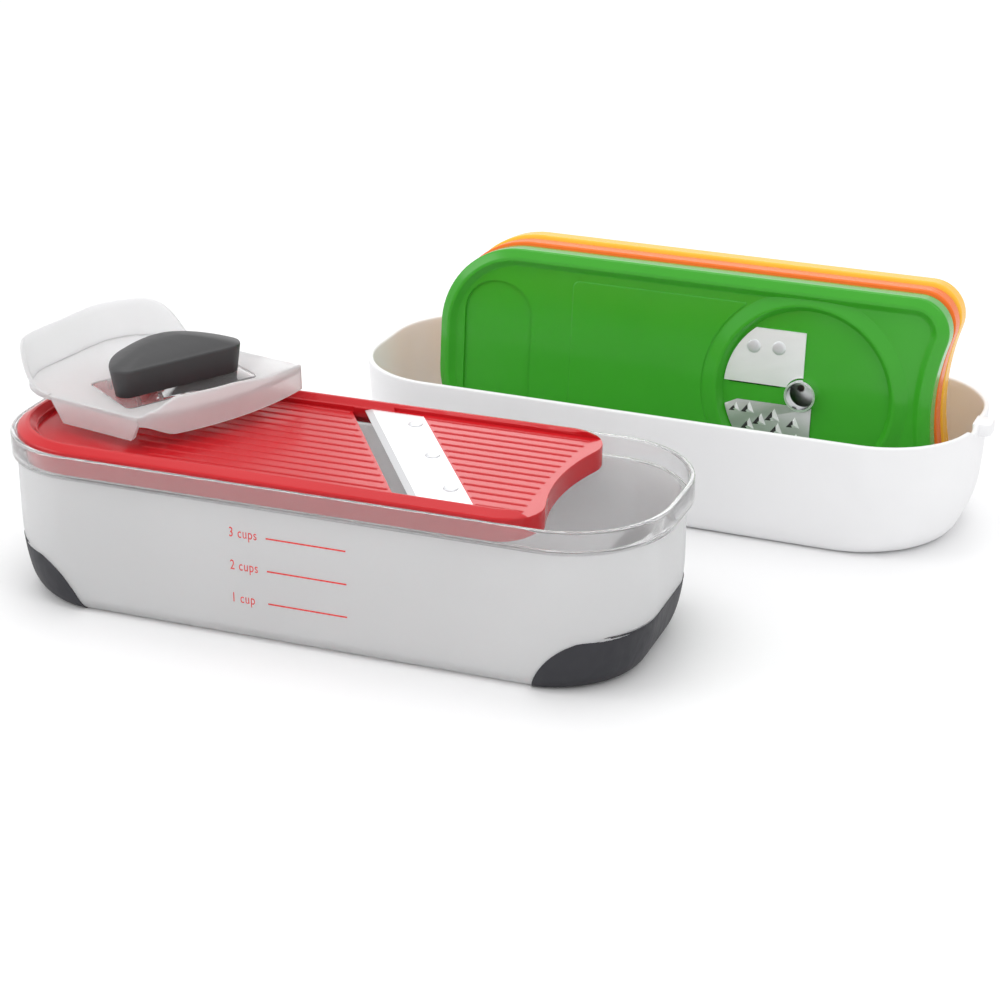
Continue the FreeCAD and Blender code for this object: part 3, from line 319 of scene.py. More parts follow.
def frosted(name, colour, rough, transmission):
    """Translucent plastic with a fine matt skin."""
    material, tree, shader = tree_of(name)
    flow = noise(tree, 20, 3)
    tree.links.new(colour_mix(tree, flow.outputs["Fac"], tuple(c * 0.97 for c in colour), colour),
                   shader.inputs["Base Color"])
    fine = noise(tree, 700, 4)
    tree.links.new(spread(tree, fine.outputs["Fac"], 0.92 * rough, 1.08 * rough),
                   shader.inputs["Roughness"])
    shader.inputs["Transmission Weight"].default_value = transmission
    shader.inputs["IOR"].default_value = 1.46
    bump(tree, shader, fine.outputs["Fac"], 0.15, 0.00002)
    return material


RED = plastic("red_plastic", (0.56, 0.011, 0.017), (0.53, 0.009, 0.014), 0.18, 0.24,
              soft=0.05, gleam=0.36)
GREEN = plastic("green_plastic", (0.045, 0.37, 0.020), (0.040, 0.35, 0.018), 0.15, 0.19,
                gleam=0.4)
ORANGE = plastic("orange_plastic", (0.83, 0.17, 0.022), (0.80, 0.155, 0.020), 0.24, 0.28,
                 gleam=0.12)
YELLOW = plastic("yellow_plastic", (0.93, 0.51, 0.05), (0.91, 0.485, 0.045), 0.24, 0.28,
                 gleam=0.12)
WHITE = plastic("lid_white", (0.86, 0.86, 0.87), (0.84, 0.84, 0.85), 0.42, 0.55, grain=1500,
                depth=0.00004, strength=0.4)
SOFT_BLACK = plastic("knob_rubber", (0.036, 0.036, 0.038), (0.030, 0.030, 0.032), 0.42, 0.48,
                     grain=2600, depth=0.00004, strength=0.3, gleam=0.6)
CHARCOAL = plastic("foot_rubber", (0.030, 0.030, 0.036), (0.024, 0.024, 0.029), 0.48, 0.62,
                   grain=2200, depth=0.00006, strength=0.5, gleam=0.35)
STEEL = steel("blade_steel", (0.80, 0.805, 0.82), 0.28, 0.34)
PALE_STEEL = steel("curly_blade_steel", (0.96, 0.965, 0.97), 0.50, 0.55)
DULL_STEEL = steel("tooth_steel", (0.58, 0.59, 0.59), 0.34, 0.46)
# Painted shade: near-black, laid on the teeth's left sides for the shaded hollows under them.
SHADOW = plastic("opening_shadow", (0.012, 0.012, 0.012), (0.006, 0.006, 0.006), 0.6, 0.8)
RIVET = steel("rivet_steel", (0.76, 0.77, 0.79), 0.34, 0.42, stretch=(1, 1, 1), scale=400)
CHROME = steel("tube_chrome", (0.93, 0.935, 0.95), 0.08, 0.14, stretch=(1, 1, 1), scale=200)
CLEAR = frosted("container_frosted", (0.95, 0.955, 0.96), 0.46, 0.56)
RIM = frosted("container_rim", (0.985, 0.985, 0.99), 0.08, 0.92)
GUARD = frosted("holder_frosted", (0.97, 0.97, 0.975), 0.42, 0.58)
POLISHED = frosted("holder_polished", (0.98, 0.98, 0.985), 0.03, 0.95)
INK = plastic("red_ink", (0.75, 0.02, 0.02), (0.65, 0.015, 0.015), 0.4, 0.5)


# ---------------------------------------------------------------- container
def fall(z, inset, rise):
    """How far a wall has drawn in at height z above the base."""
    if z >= rise:
        return 0.0
    return inset * (1 - math.sqrt(max(0.0, 1 - (1 - z / rise) ** 2)))


def wall_ring(z, offset=0.0, lift=0.0):
    """The container's wall outline at height z, moved in by offset and up by lift."""
    hx = WALL_X - fall(z, END_INSET, END_RISE) - offset
    hy = WALL_Y - fall(z, SIDE_INSET, SIDE_RISE) - offset
    return ring(rounded(hx, hy, WALL_R - offset), z + lift)


def rim_ring(offset, z):
    return ring(rounded(RIM_X - offset, RIM_Y - offset, RIM_R - offset), z)


def curve_heights(rise, steps=16):
    return [rise * (1 - math.sin(math.pi / 2 * (1 - i / steps))) for i in range(steps + 1)]


base_lift = 0.3  # keeps the wall's base clear above the feet
outside = [wall_ring(z, lift=base_lift * (1 - z / END_RISE)) for z in curve_heights(END_RISE)]
outside += [wall_ring(40), wall_ring(BAND_Z - 1.2), wall_ring(BAND_Z - 0.6),
            wall_ring(BAND_Z - 0.25, -0.1), wall_ring(BAND_Z - 0.05, -0.4)]
rim = soften([(0.9, BAND_Z), (0, BAND_Z, 0.7), (0, RIM_Z, 0.8), (2.1, RIM_Z, 0.8),
              (2.1, LEDGE_Z + 0.6)], 0.7)
inside = [wall_ring(LEDGE_Z, 1.3), wall_ring(LEDGE_Z - 0.15, 1.75),
          wall_ring(LEDGE_Z - 0.8, WALL_THICK), wall_ring(40, WALL_THICK)]
inside += [wall_ring(z, WALL_THICK, 2.8) for z in reversed(curve_heights(END_RISE))]
rings = outside + [rim_ring(offset, z) for offset, z in rim]
rings += [rim_ring(2.3, LEDGE_Z + 0.1)] + inside
container = make("container_shell", *skin(rings), Matrix(), "container", "container_frosted",
                 CLEAR)
container.data.materials.append(RIM)
for face in container.data.polygons:
    face.material_index = 1 if face.center.z > (BAND_Z - 0.1) * MM else 0
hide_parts("container")


def foot_edge(z):
    """How far along X the foot starts at height z."""
    drop = z - (FOOT_TOP - FOOT_SWEEP)
    return FOOT_SHOULDER - math.sqrt(max(0.0, FOOT_SWEEP ** 2 - drop ** 2))


def foot_row(z, offset, start, count=72):
    """A level of the foot's skin, from the front edge round the end to the back edge."""
    hx = WALL_X - fall(z, END_INSET, END_RISE) - offset
    hy = WALL_Y - fall(z, SIDE_INSET, SIDE_RISE) - offset
    r = min(WALL_R - offset, hy - 0.01)
    centre_x, centre_y = hx - r, hy - r
    turn = math.pi / 2
    if start > centre_x:
        turn = math.acos(min(1.0, (start - centre_x) / r))
    straight = max(0.0, centre_x - start)
    lengths = (straight, r * turn, 2 * centre_y, r * turn, straight)
    total = sum(lengths)
    row = []
    for i in range(count + 1):
        s = total * i / count
        if s < lengths[0]:
            point = (start + s, -hy)
        elif s < lengths[0] + lengths[1]:
            a = -turn + (s - lengths[0]) / r
            point = (centre_x + r * math.cos(a), -centre_y + r * math.sin(a))
        elif s < sum(lengths[:3]):
            point = (hx, -centre_y + s - lengths[0] - lengths[1])
        elif s < sum(lengths[:4]):
            a = (s - sum(lengths[:3])) / r
            point = (centre_x + r * math.cos(a), centre_y + r * math.sin(a))
        else:
            point = (start + (total - s), hy)
        row.append((*point, z))
    return row


def make_foot(side):
    """A soft foot: a skin over the container's end, turned in at its edges."""
    heights = curve_heights(FOOT_TOP, 18)
    rows = [foot_row(z, -FOOT_PROUD, foot_edge(z)) for z in heights]
    floor_rows = []
    for share in (0.0, 0.35, 0.7, 0.92):
        start = foot_edge(0)
        floor_rows.append([(start + (x - start) * share, y * share, 0.0) for x, y, _ in rows[0]])
    inner = foot_row(heights[-1] - 0.35, 0.2, foot_edge(heights[-1]) + 0.1)
    rows = [*floor_rows, *rows, inner]
    vertices = [v for row in rows for v in row]
    width = len(rows[0])
    faces = [(i * width + j, i * width + j + 1, (i + 1) * width + j + 1, (i + 1) * width + j)
             for i in range(len(rows) - 1) for j in range(width - 1)]
    vertices = [(side * x, y, z) for x, y, z in vertices]
    name = "foot_right" if side > 0 else "foot_left"
    foot = make(f"{name}_skin", vertices, faces, Matrix(), "container", "foot_rubber", CHARCOAL)
    solid = foot.modifiers.new("thickness", "SOLIDIFY")
    solid.thickness = 0.5 * MM
    solid.offset = -1
    flatten(foot)
    shade(foot)
    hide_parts(name)


for side in (-1, 1):
    make_foot(side)


# ---------------------------------------------------------------- printed marks
def print_marks():
    """Thin red lines and short words on the container's front wall."""
    y = -(WALL_Y + 0.02)
    for step, label in ((2, "3 cups"), (1, "2 cups"), (0, "1 cup")):
        z = MARK_LOW + step * MARK_PITCH
        word = bpy.data.curves.new("mark", "FONT")
        word.body = label
        word.size = 5.2 * MM
        word.extrude = 0.02 * MM
        word.space_character = 1.12
        obj = bpy.data.objects.new(f"mark_text_{label[0]}", word)
        bpy.context.scene.collection.objects.link(obj)
        obj.rotation_euler = (math.radians(90), 0, 0)
        obj.scale = (0.72, 1, 1)
        obj.location = (-25.0 * MM, y * MM, (z - 1.2) * MM)
        word.materials.append(INK)
        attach(obj, "container")
        outline = [(MARK_LEFT, -0.28), (MARK_RIGHT, -0.28), (MARK_RIGHT, 0.28), (MARK_LEFT, 0.28)]
        front = [(x, y - 0.02, z + up) for x, up in outline]
        back = [(x, y + 0.05, z + up) for x, up in outline]
        make(f"mark_line_{label[0]}", *skin([front, back]), Matrix(), "container", "red_plastic",
             INK)


print_marks()


# ---------------------------------------------------------------- inserts
def insert_blank(name, place, body, slot, material):
    """The shared plate: skirt, rounded lip and dished deck."""
    profile = soften([(9.0, 4.6), (2.1, 4.6, 0.4), (2.0, 0, 0.3), (0.1, 0, 0.4),
                      (0, THICK - 1.9, 0.9), (3.4, THICK - 0.1, 0.4), (4.6, THICK, 0.3),
                      (DISH - 0.4, DECK, 0.5), (DISH + 3, DECK)], 0.5, steps=5)
    rings = [ring(wavy(offset), z) for offset, z in profile]
    return make(name, *skin(rings), place, body, slot, material)


def strip(start, width, half):
    """A parallelogram outline that follows the slicing blade's slant."""
    return [(start + SLOPE * half, -half), (start + width + SLOPE * half, -half),
            (start + width - SLOPE * half, half), (start - SLOPE * half, half)]


def ribs(place, lines, name):
    """Fine raised ribs; each line is (x0, x1, y, base height)."""
    vertices, faces = [], []
    for x0, x1, y, base in lines:
        rings = []
        for x, grow in ((x0 - 0.6, 0.1), (x0, 1.0), (x1, 1.0), (x1 + 0.6, 0.1)):
            section = ((-0.75, -0.3), (-0.5, 0.12), (-0.22, 0.36), (0.22, 0.36), (0.5, 0.12),
                       (0.75, -0.3))
            rings.append([(x, y + across, base + up * (grow if up > 0 else 1))
                          for across, up in section])
        more, sides = skin(rings)
        faces += [tuple(i + len(vertices) for i in face) for face in sides]
        vertices += more
    return make(name, vertices, faces, place, None, None, RED, sharp=80)


def make_slicing():
    plate = insert_blank("slicing_plate_moulding", PLATE_PLACE, "slicing_insert", "red_plastic",
                         RED)
    hy = INSERT_Y - DISH
    r = INSERT_R - DISH
    edge = 11.6
    x0 = DISH - INSERT_X
    ramp = (run(x0 + r, -hy, edge + SLOPE * hy, -hy, 1)
            + [(edge + SLOPE * hy, -hy), (edge - SLOPE * hy, hy)]
            + run(edge - SLOPE * hy, hy, x0 + r, hy, 1)[1:] + arc(x0 + r, hy - r, r, 90, 180, 20)
            + arc(x0 + r, r - hy, r, 180, 270, 20))
    start, half = 28.0, 37.5
    landing = [(start + SLOPE * half, -half), (110, -half), (110, half), (start - SLOPE * half, half)]
    throat, seat = strip(10.6, 6.7, BLADE_HALF - 0.1), strip(BLADE_LEFT, BLADE_WIDTH, BLADE_HALF)
    cut(plate, [(ramp, RAMP_Z, ABOVE), (landing, DECK, ABOVE), (throat, BELOW, ABOVE),
                (seat, DECK - 0.7, ABOVE)], PLATE_PLACE)
    bevel(plate, 0.25)
    flatten(plate)
    lines = []
    for step in range(RIB_COUNT):
        y = (step - (RIB_COUNT - 1) / 2) * RIB_PITCH
        lines.append((-79 + 0.02 * y * y, 9.0 - SLOPE * y, y, RAMP_Z))
        lines.append((40.6 - SLOPE * y, 77.6 + 0.0016 * y * y, y, DECK))
    join(plate, ribs(PLATE_PLACE, lines, "ribs"))
    shade(plate, 35)
    even_normals(plate)
    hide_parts("slicing_plate")


make_slicing()


def make_spare(step, name, body, slot, material, shapes):
    place = spare_place(step)
    plate = insert_blank(f"{name}_moulding", place, body, slot, material)
    cut(plate, shapes, place)
    bevel(plate, 0.25)
    flatten(plate)
    shade(plate, 35)
    even_normals(plate)
    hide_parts(name)
    return plate, place


grip = rounded(14.5, 29, 13.5)
grip = [(x - 97.5, y) for x, y in grip]
opening = [(x - 2.0, y) for x, y in rounded(62, 27, 8)]
rebate = [(x - 2.0, y) for x, y in rounded(68.1, 33.1, 10)]
for step, name, slot, material in ((1, "coarse", "orange_plastic", ORANGE),
                                   (2, "fine", "yellow_plastic", YELLOW)):
    make_spare(step, f"{name}_plate", f"{name}_insert", slot, material,
               [(opening, BELOW, ABOVE), (rebate, DECK - 0.6, ABOVE), (grip, DECK - 1, ABOVE)])

well = arc(*RING_CENTRE, 36.2, 0, 360, 96)
curly_slot = [(0.5, 0.5), (21.3, 0.5), (21.3, 3.2), (0.5, 3.2)]
bore = arc(*WELL, 6.2, 0, 360, 40)
curly, CURLY_PLACE = make_spare(0, "curly_plate", "curly_insert", "green_plastic", GREEN,
                                [(grip, DECK - 1, ABOVE), (well, WELL_Z, ABOVE),
                                 (curly_slot, BELOW, ABOVE), (bore, BELOW, ABOVE)])
profile = soften([(33.0, WELL_Z - 0.5), (33.2, WELL_Z, 0.3), (35.2, DECK + 1.45, 0.3),
                  (36.3, DECK + 1.5, 0.4), (RING_R - 0.5, DECK + 0.12, 0.4),
                  (RING_R, DECK + 0.05, 0.2), (RING_R, DECK - 1.0),
                  (33.0, WELL_Z - 0.5)], 0.3)
rim_rings = [[(x, y, z) for x, y in arc(*RING_CENTRE, radius, 0, 360, 96)]
             for radius, z in profile]
well_rim = make("well_rim", *skin(rim_rings, closed=False), CURLY_PLACE, None, None, GREEN)


def panel_outline(inset):
    """A rounded field left of the well, ended by an arc about the well's centre."""
    radius, half = RING_R + 0.6 + inset, 33.0 - inset
    low = math.degrees(math.asin((half + WELL[1]) / radius))
    high = math.degrees(math.asin((half - WELL[1]) / radius))
    left = inset - 66.0
    bulge = arc(*RING_CENTRE, radius, 180 + low, 180 - high, 40)
    return (run(left + 3, -half, bulge[0][0], -half, 10) + bulge
            + run(bulge[-1][0], half, left + 3, half, 10) + arc(left + 3, half - 3, 3, 90, 180, 6)
            + arc(left + 3, 3 - half, 3, 180, 270, 6))


panel_rings = [ring(panel_outline(inset), z) for inset, z in
               ((0, DECK - 0.5), (0, DECK + 0.05), (0.15, DECK + 0.25), (0.5, DECK + 0.35))]
panel = make("panel", *skin(panel_rings), CURLY_PLACE, None, None, GREEN)
join(curly, well_rim, panel)
shade(curly, 35)


def make_tooth_plate():
    """A thin steel sheet with punched three-sided teeth, each with painted shade on its left: a
    near-black triangle where its hollow would lie in shade.
    """
    low, high, right = -27.5, -6.0, 34.4
    radius = WELL_R - 2.0

    def left(y):
        return WELL[0] - math.sqrt(radius ** 2 - (y - WELL[1]) ** 2)

    heights = [low + (high - 2.5 - low) * i / 24 for i in range(25)]
    edge = [(left(y), y) for y in heights]
    outline = [(right, low), (right, high), (left(high) + 5.5, high), *reversed(edge)]
    sheet = make("curly_tooth_sheet", *prism(outline, WELL_Z + 0.05, WELL_Z + 0.6), CURLY_PLACE,
                 "curly_insert", "blade_steel", DULL_STEEL)
    cut(sheet, [(arc(*WELL, 6.6, 0, 360, 40), BELOW, ABOVE)], CURLY_PLACE)
    bevel(sheet, 0.12)
    flatten(sheet)
    base = WELL_Z + 0.58
    vertices, faces, painted_shade_faces, painted_shade_points = [], [], [], []
    for x, y, size in ((4.2, -9.4, 1.1), (9.6, -9.0, 1.4), (14.6, -13.2, 1.45), (19.8, -10.9, 1.6),
                       (10.0, -15.6, 1.4), (21.6, -16.2, 1.45), (28.2, -12.8, 1.35),
                       (16.4, -20.4, 1.4), (29.2, -19.4, 1.4), (23.4, -23.4, 1.3)):
        a, b = (x - 1.7 * size, y - 1.3 * size), (x + 1.5 * size, y - 1.3 * size)
        c, tip, rise = (x, y + 1.9 * size), (x - 0.1, y - 0.1), 1.2 * size
        first = len(vertices)
        vertices += [(*a, base), (*b, base), (*c, base), (*tip, base + rise)]
        faces += [(first, first + 1, first + 3), (first + 1, first + 2, first + 3),
                  (first + 2, first, first + 3), (first + 2, first + 1, first)]
        # Painted shade: a near-black triangle on each tooth's left side stands in for the shaded
        # hollow under it.
        first = len(painted_shade_points)
        lift, slide = 0.05, -0.12
        painted_shade_points += [(a[0] + slide - 0.9, a[1] - 0.1, base + lift), (a[0] + 1.3, a[1], base + lift),
                  (tip[0] + slide, tip[1], base + rise - 0.1),
                  (c[0] + slide - 0.9, c[1] - 1.4, base + lift)]
        painted_shade_faces += [(first, first + 1, first + 2), (first, first + 2, first + 3),
                     (first, first + 3, first + 1)]
    shade(sheet, 25)
    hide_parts("curly_tooth_plate")
    teeth = make("curly_teeth", vertices, faces, CURLY_PLACE, "curly_insert", "blade_steel",
                 PALE_STEEL, sharp=20)
    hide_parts("curly_tooth_plate")
    # The teeth's painted shade, in the near-black material.
    make("curly_tooth_painted_shade", painted_shade_points, painted_shade_faces, CURLY_PLACE, "curly_insert", "blade_steel",
         SHADOW, sharp=20)


make_tooth_plate()


def rivet_heads(name, place, body, spots, low):
    """Domed heads, each with its shank below."""
    vertices, faces = [], []
    profile = ((2.7, low - 3.0), (2.7, low + 0.15), (2.6, low + 0.32), (2.35, low + 0.42),
               (1.6, low + 0.5), (0.3, low + 0.53))
    for x, y in spots:
        more, sides = skin([ring(arc(x, y, radius, 0, 360, 32), z) for radius, z in profile])
        faces += [tuple(i + len(vertices) for i in face) for face in sides]
        vertices += more
    heads = make(f"{name}_heads", vertices, faces, place, body, "rivet_steel", RIVET, sharp=50)
    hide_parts(name)


rivet_heads("slicing_blade_rivets", PLATE_PLACE, "slicing_insert",
            [(33.9 - SLOPE * y, y) for y in (-24.1, 1.5, 27.1)], DECK + 0.2)
rivet_heads("curly_blade_rivets", CURLY_PLACE, "curly_insert", [(9.7, 16), (19.8, 16.3)],
            WELL_Z + 0.6)

for name, material in (("slicing_blade", STEEL), ("curly_blade", PALE_STEEL),
                       ("curly_center_tube", CHROME),
                       ("coarse_sheet", STEEL), ("coarse_rivets", RIVET),
                       ("fine_sheet", STEEL), ("fine_rivets", RIVET),
                       ("holder_prongs", RIVET)):
    nodes[name].data.materials.clear()
    nodes[name].data.materials.append(material)


# ---------------------------------------------------------------- lid
def lid_ring(z, offset=0.0, lift=0.0, dip=0.0):
    draft = LID_DRAFT * (1 - z / LID_Z)
    hx = RIM_X - offset - draft - fall(z, END_INSET, LID_RISE)
    hy = RIM_Y - offset - draft - fall(z, LID_SIDE, SIDE_RISE)
    points = ring(rounded(hx, hy, RIM_R - offset), z + lift)
    if not dip:
        return points
    return [(x, y, h - dip * notch(x, y)) for x, y, h in points]


def notch(x, y):
    """How deep the rim's notch is at a point of the rim, from 0 to 1."""
    if x < 100:
        return 0.0
    edge = min(y + 13.5, -5.5 - y)
    return max(0.0, min(1.0, edge / 0.8))


heights = curve_heights(LID_RISE)
rings = [lid_ring(z) for z in heights] + [lid_ring(z) for z in (31, 38, 43)]
rings += [lid_ring(z, offset, 0, 2.0) for z, offset in
          ((LID_Z - 0.9, 0), (LID_Z - 0.35, 0.12), (LID_Z - 0.08, 0.4), (LID_Z, 0.8),
           (LID_Z, 1.4), (LID_Z - 0.08, 1.8), (LID_Z - 0.35, 2.08), (LID_Z - 0.9, LID_WALL))]
rings += [lid_ring(z, LID_WALL) for z in (43, 38, 31)]
rings += [lid_ring(z, LID_WALL, LID_FLOOR) for z in reversed(heights)]
lid = make("lid_shell", *skin(rings), LID_PLACE, "lid", "lid_white", WHITE)
lug_rings = []
for z, inset in ((41.2, 0.5), (41.5, 0.1), (42, 0), (45.4, 0), (45.9, 0.15), (46.15, 0.6)):
    lug_rings.append([(x, y, z) for x, y in soften(
        [(122.5, 4 - inset), (128 - inset, 3.6 - inset, 1.2), (129.4 - inset, 2.5 - inset, 1.2),
         (129.4 - inset, -4.5 + inset, 1.2), (128 - inset, -5.6 + inset, 1.2),
         (122.5, -6 + inset)], 1.0)])
lug = make("lug", *skin(lug_rings), LID_PLACE, None, None, WHITE)
racks = []
for x in (-55, 55):
    half, top, seat, tilt = 5.4, 15.0, 4.6, math.tan(math.radians(5.7))
    lean, last = tilt * (top - seat), 13.9 + half
    outline = [(-15.8, 2.0), (-15.8, top), (lean - 6.9 - half, top), (-6.9 - half, seat),
               (last, seat), (last + lean, top), (last + 4, top), (last + 4, 2.0)]
    sections = [[(x + side, y, z) for y, z in outline] for side in (-1.5, 1.5)]
    rack = make("rack", *skin(sections), LID_PLACE, None, None, WHITE)
    racks.append(rack)
join(lid, lug, *racks)
shade(lid, 40)
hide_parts("lid")


# ---------------------------------------------------------------- food holder
HALF_W, HOLDER_LEFT, HOLDER_R = 35.6, 42.0, 22.0
APRON = (-63.7, 25.9, 105.0)  # the apron arc's centre and radius
GUARD_PLATE, GUARD_WALL, SHIELD_LEAN = 1.8, 1.6, 3.4
FLAP_START, FLAP_END, FLAP_STEPS = -20.0, 21.1, 48


def left_end(inset, reach):
    """The plate's rounded end, from its back edge at x = reach round to its front edge."""
    y, r, x = HALF_W - inset, HOLDER_R - inset, HOLDER_R - HOLDER_LEFT
    return (run(reach, y, x, y, 8) + arc(x, y - r, r, 90, 180, 22)
            + run(x - r, y - r, x - r, r - y, 6) + arc(x, r - y, r, 180, 270, 22) + [(x, -y)])


def right_end(inset, count=40):
    """The points of the apron's arc, from the front edge to the back edge."""
    x, y, radius = APRON[0], APRON[1], APRON[2] - inset
    start, end = (math.degrees(math.asin((side * (HALF_W - inset) - y) / radius))
                  for side in (-1, 1))
    return arc(x, y, radius, start, end, count)


def holder_outline(inset):
    """The holder's plate: a rounded end at -X and a shallow arc at +X."""
    right, left = right_end(inset), left_end(inset, HOLDER_R - HOLDER_LEFT)[8:]
    y = HALF_W - inset
    return (run(left[-1][0], -y, right[0][0], -y, 12)[1:] + right
            + run(right[-1][0], y, left[0][0], y, 12)[1:] + left)


def wall(points, lows, highs, lean=0.0, levels=8):
    """A standing wall along points, between two heights at each point, with a rounded top.

    lean is how far it moves outwards at 14 mm up.
    """
    count = len(points)
    half = GUARD_WALL / 2
    rings = []
    for i, (x, y) in enumerate(points):
        a = Vector(points[max(i - 1, 0)])
        b = Vector(points[min(i + 1, count - 1)])
        along = (b - a).normalized()
        out = Vector((along.y, -along.x))
        low, high = lows[i], highs[i]
        section = []
        span = high - low
        round_top = min(half, span * 0.4)
        sides = ((1, range(levels + 1)), (-1, range(levels, -1, -1)))
        for sign, order in sides:
            for k in order:
                share = k / levels
                z = low + 0.3 + (span - 0.3 - round_top) * share
                push = sign * half + lean * max(0.0, z) / 14.0
                section.append((x + out.x * push, y + out.y * push, z))
            if sign == 1:
                for angle in (35, 65, 90, 115, 145):
                    c, s = math.cos(math.radians(angle)), math.sin(math.radians(angle))
                    push = c * half + lean * max(0.0, high) / 14.0
                    section.append((x + out.x * push, y + out.y * push,
                                    high - round_top + s * round_top))
        rings.append(section)
    return skin(rings)


def smooth(t):
    t = max(0.0, min(1.0, t))
    return t * t * (3 - 2 * t)


def between(points, x):
    """A smooth curve through (place, height) points."""
    for (x0, y0), (x1, y1) in zip(points, points[1:]):
        if x <= x1:
            return y0 + (y1 - y0) * smooth((x - x0) / (x1 - x0))
    return points[-1][1]


def window(inset):
    """The outline of the clear field round the knob's foot."""
    return [(x + 4.5, y) for x, y in rounded(15.6 - inset, 26.6 - inset, 2.5)]


def make_holder():
    profile = soften([(12, -GUARD_PLATE), (0, -GUARD_PLATE, 0.5), (0, 0, 0.5), (12, 0)], 0.4)
    rings = [ring(holder_outline(offset), z) for offset, z in profile]
    body = make("holder_guard", *skin(rings), HOLDER_PLACE, "holder", "holder_frosted", GUARD)
    cut(body, [(window(0.1), -5, 5)], KNOB_PLACE)
    pieces = []
    middle = GUARD_WALL / 2
    shield = left_end(middle, -8.5)
    highs = []
    for x, y in shield:
        front = smooth((y + HALF_W) / 15) ** 0.8
        back = smooth((-8.0 - x) / 24) if y > 0 else 1.0
        highs.append(0.3 + 13.3 * front * back)
    lows = [-GUARD_PLATE] * len(shield)
    pieces.append(make("shield", *wall(shield, lows, highs, SHIELD_LEAN), HOLDER_PLACE, None,
                       None, GUARD))
    apron = right_end(middle, 64)
    tops = ((-35.6, -0.9), (-31, 1.4), (-21.6, 5.3), (-3, 4.8), (18, 2.4), (36, 1.0))
    feet = ((-35.6, -3.9), (-23, -8.9), (36, -8.9))
    highs = [between(tops, y) for _, y in apron]
    lows = [between(feet, y) for _, y in apron]
    pieces.append(make("apron", *wall(apron, lows, highs), HOLDER_PLACE, None, None, GUARD))
    for side in (-1, 1):
        xs = [FLAP_START + (FLAP_END - FLAP_START) * i / FLAP_STEPS for i in range(FLAP_STEPS + 1)]
        flap = [(x, side * (HALF_W - middle)) for x in xs]
        lows = []
        for x in xs:
            left, right = (x - FLAP_START) / 6.0, 0.36 + 0.64 * (FLAP_END - x) / 3.0
            lows.append(-0.4 - 9.4 * max(0.0, min(1.0, left, right)))
        pieces.append(make("flap", *wall(flap, lows, [-0.05] * len(xs)), HOLDER_PLACE, None,
                           None, GUARD))
    join(body, *pieces)
    shade(body, 40)
    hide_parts("holder_body")
    rings = [ring(window(inset), z)
             for z, inset in ((-1.65, 0.2), (-1.75, 0.0), (0.15, 0.0), (0.25, 0.2))]
    make("holder_window", *skin(rings), KNOB_PLACE, "holder", "holder_frosted", POLISHED)


make_holder()


def knob_outline(inset, turns=14):
    """A rounded D with a nearly straight side towards +X."""
    corner, x, y = 6.0 - inset, 7.0, 20.0
    centre = y * y / (4 * x)
    big = centre + 13.0 - inset
    a = math.degrees(math.atan2(y, x - centre))
    flat = x + corner
    return (run(flat, -y, flat, y, 10) + arc(x, y, corner, 0, a, turns)
            + arc(centre, 0, big, a, 360 - a, 40) + arc(x, -y, corner, -a, 0, turns))


def make_knob():
    profile = soften([(1.6, 0.3), (1.45, 0.9, 0.4), (0.0, 10.2, 0.5), (0.15, 10.9, 0.4),
                      (0.9, 11.3)], 0.4, steps=4)
    rings = [ring(knob_outline(offset), z) for offset, z in profile]
    last = rings[-1]
    for share in (0.95, 0.88, 0.8, 0.7, 0.58, 0.45, 0.3, 0.15):
        rings.append([(x * share, y * share, 11.3 + 5.0 * (1 - share ** 2)) for x, y, _ in last])
    knob = make("holder_knob_grip", *skin(rings), KNOB_PLACE, "holder", "knob_rubber", SOFT_BLACK,
                sharp=60)
    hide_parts("holder_knob")


make_knob()

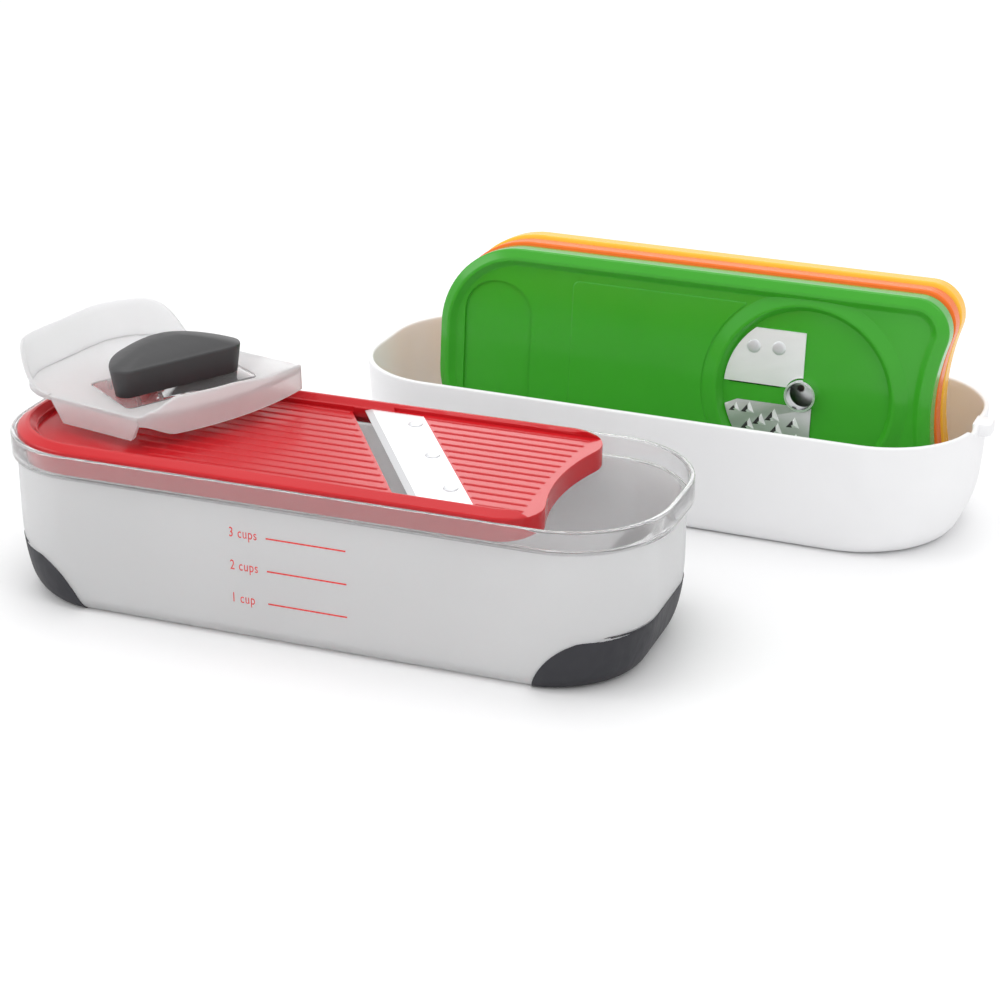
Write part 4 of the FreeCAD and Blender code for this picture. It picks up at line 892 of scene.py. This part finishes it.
# ---------------------------------------------------------------- stage, lights, camera
floor_material, floor_tree, floor_shader = tree_of("floor")
floor_noise = noise(floor_tree, 3, 2)
floor_tree.links.new(colour_mix(floor_tree, floor_noise.outputs["Fac"], (0.90, 0.90, 0.905),
                                (0.92, 0.92, 0.925)), floor_shader.inputs["Base Color"])
floor_shader.inputs["Roughness"].default_value = 0.6
floor_mesh = bpy.data.meshes.new("floor")
reach = 6.0
floor_mesh.from_pydata([(-reach, -reach, 0), (reach, -reach, 0), (reach, reach, 0),
                        (-reach, reach, 0)], [], [(0, 1, 2, 3)])
floor = bpy.data.objects.new("floor", floor_mesh)
floor_mesh.materials.append(floor_material)
bpy.context.scene.collection.objects.link(floor)

world = bpy.data.worlds.new("world")
bpy.context.scene.world = world
world.use_nodes = True
world.node_tree.nodes["Background"].inputs["Color"].default_value = (1, 1, 1, 1)
world.node_tree.nodes["Background"].inputs["Strength"].default_value = 0.93
bpy.context.scene.view_settings.view_transform = "Standard"


def area_light(name, place, target, size, power):
    light = bpy.data.lights.new(name, "AREA")
    light.shape = "RECTANGLE"
    light.size, light.size_y = size
    light.energy = power
    obj = bpy.data.objects.new(name, light)
    obj.location = place
    obj.rotation_euler = (Vector(target) - Vector(place)).to_track_quat("-Z", "Y").to_euler()
    bpy.context.scene.collection.objects.link(obj)


# A broad ceiling, a strip for edge gleams, fills at both sides, and one mirrored in the steel.
area_light("top", (-0.1, 0.3, 1.3), (0.02, 0.05, 0.03), (1.2, 0.9), 3.2)
area_light("strip", (0.05, -0.15, 1.2), (0.05, 0.05, 0.03), (1.0, 0.07), 1.3)
area_light("right", (0.75, -0.35, 0.95), (0.19, 0.16, 0.04), (0.4, 0.4), 0.9)
area_light("left", (-1.1, -0.5, 0.7), (0, 0.05, 0.04), (0.8, 0.6), 2.9)
area_light("behind", (-0.22, 1.35, 0.62), (0.05, 0.02, 0.06), (0.75, 0.5), 1.9)

camera_data = bpy.data.cameras.new("camera")
camera = bpy.data.objects.new("camera", camera_data)
bpy.context.scene.collection.objects.link(camera)
camera_data.lens = 88.67
camera_data.sensor_width = 36.0
camera_data.clip_end = 50.0
camera.location = (0.34095, -0.7365, 0.3827)
camera.rotation_euler = (math.pi / 2 - 0.400798, 0, 0.365950)
bpy.context.scene.camera = camera
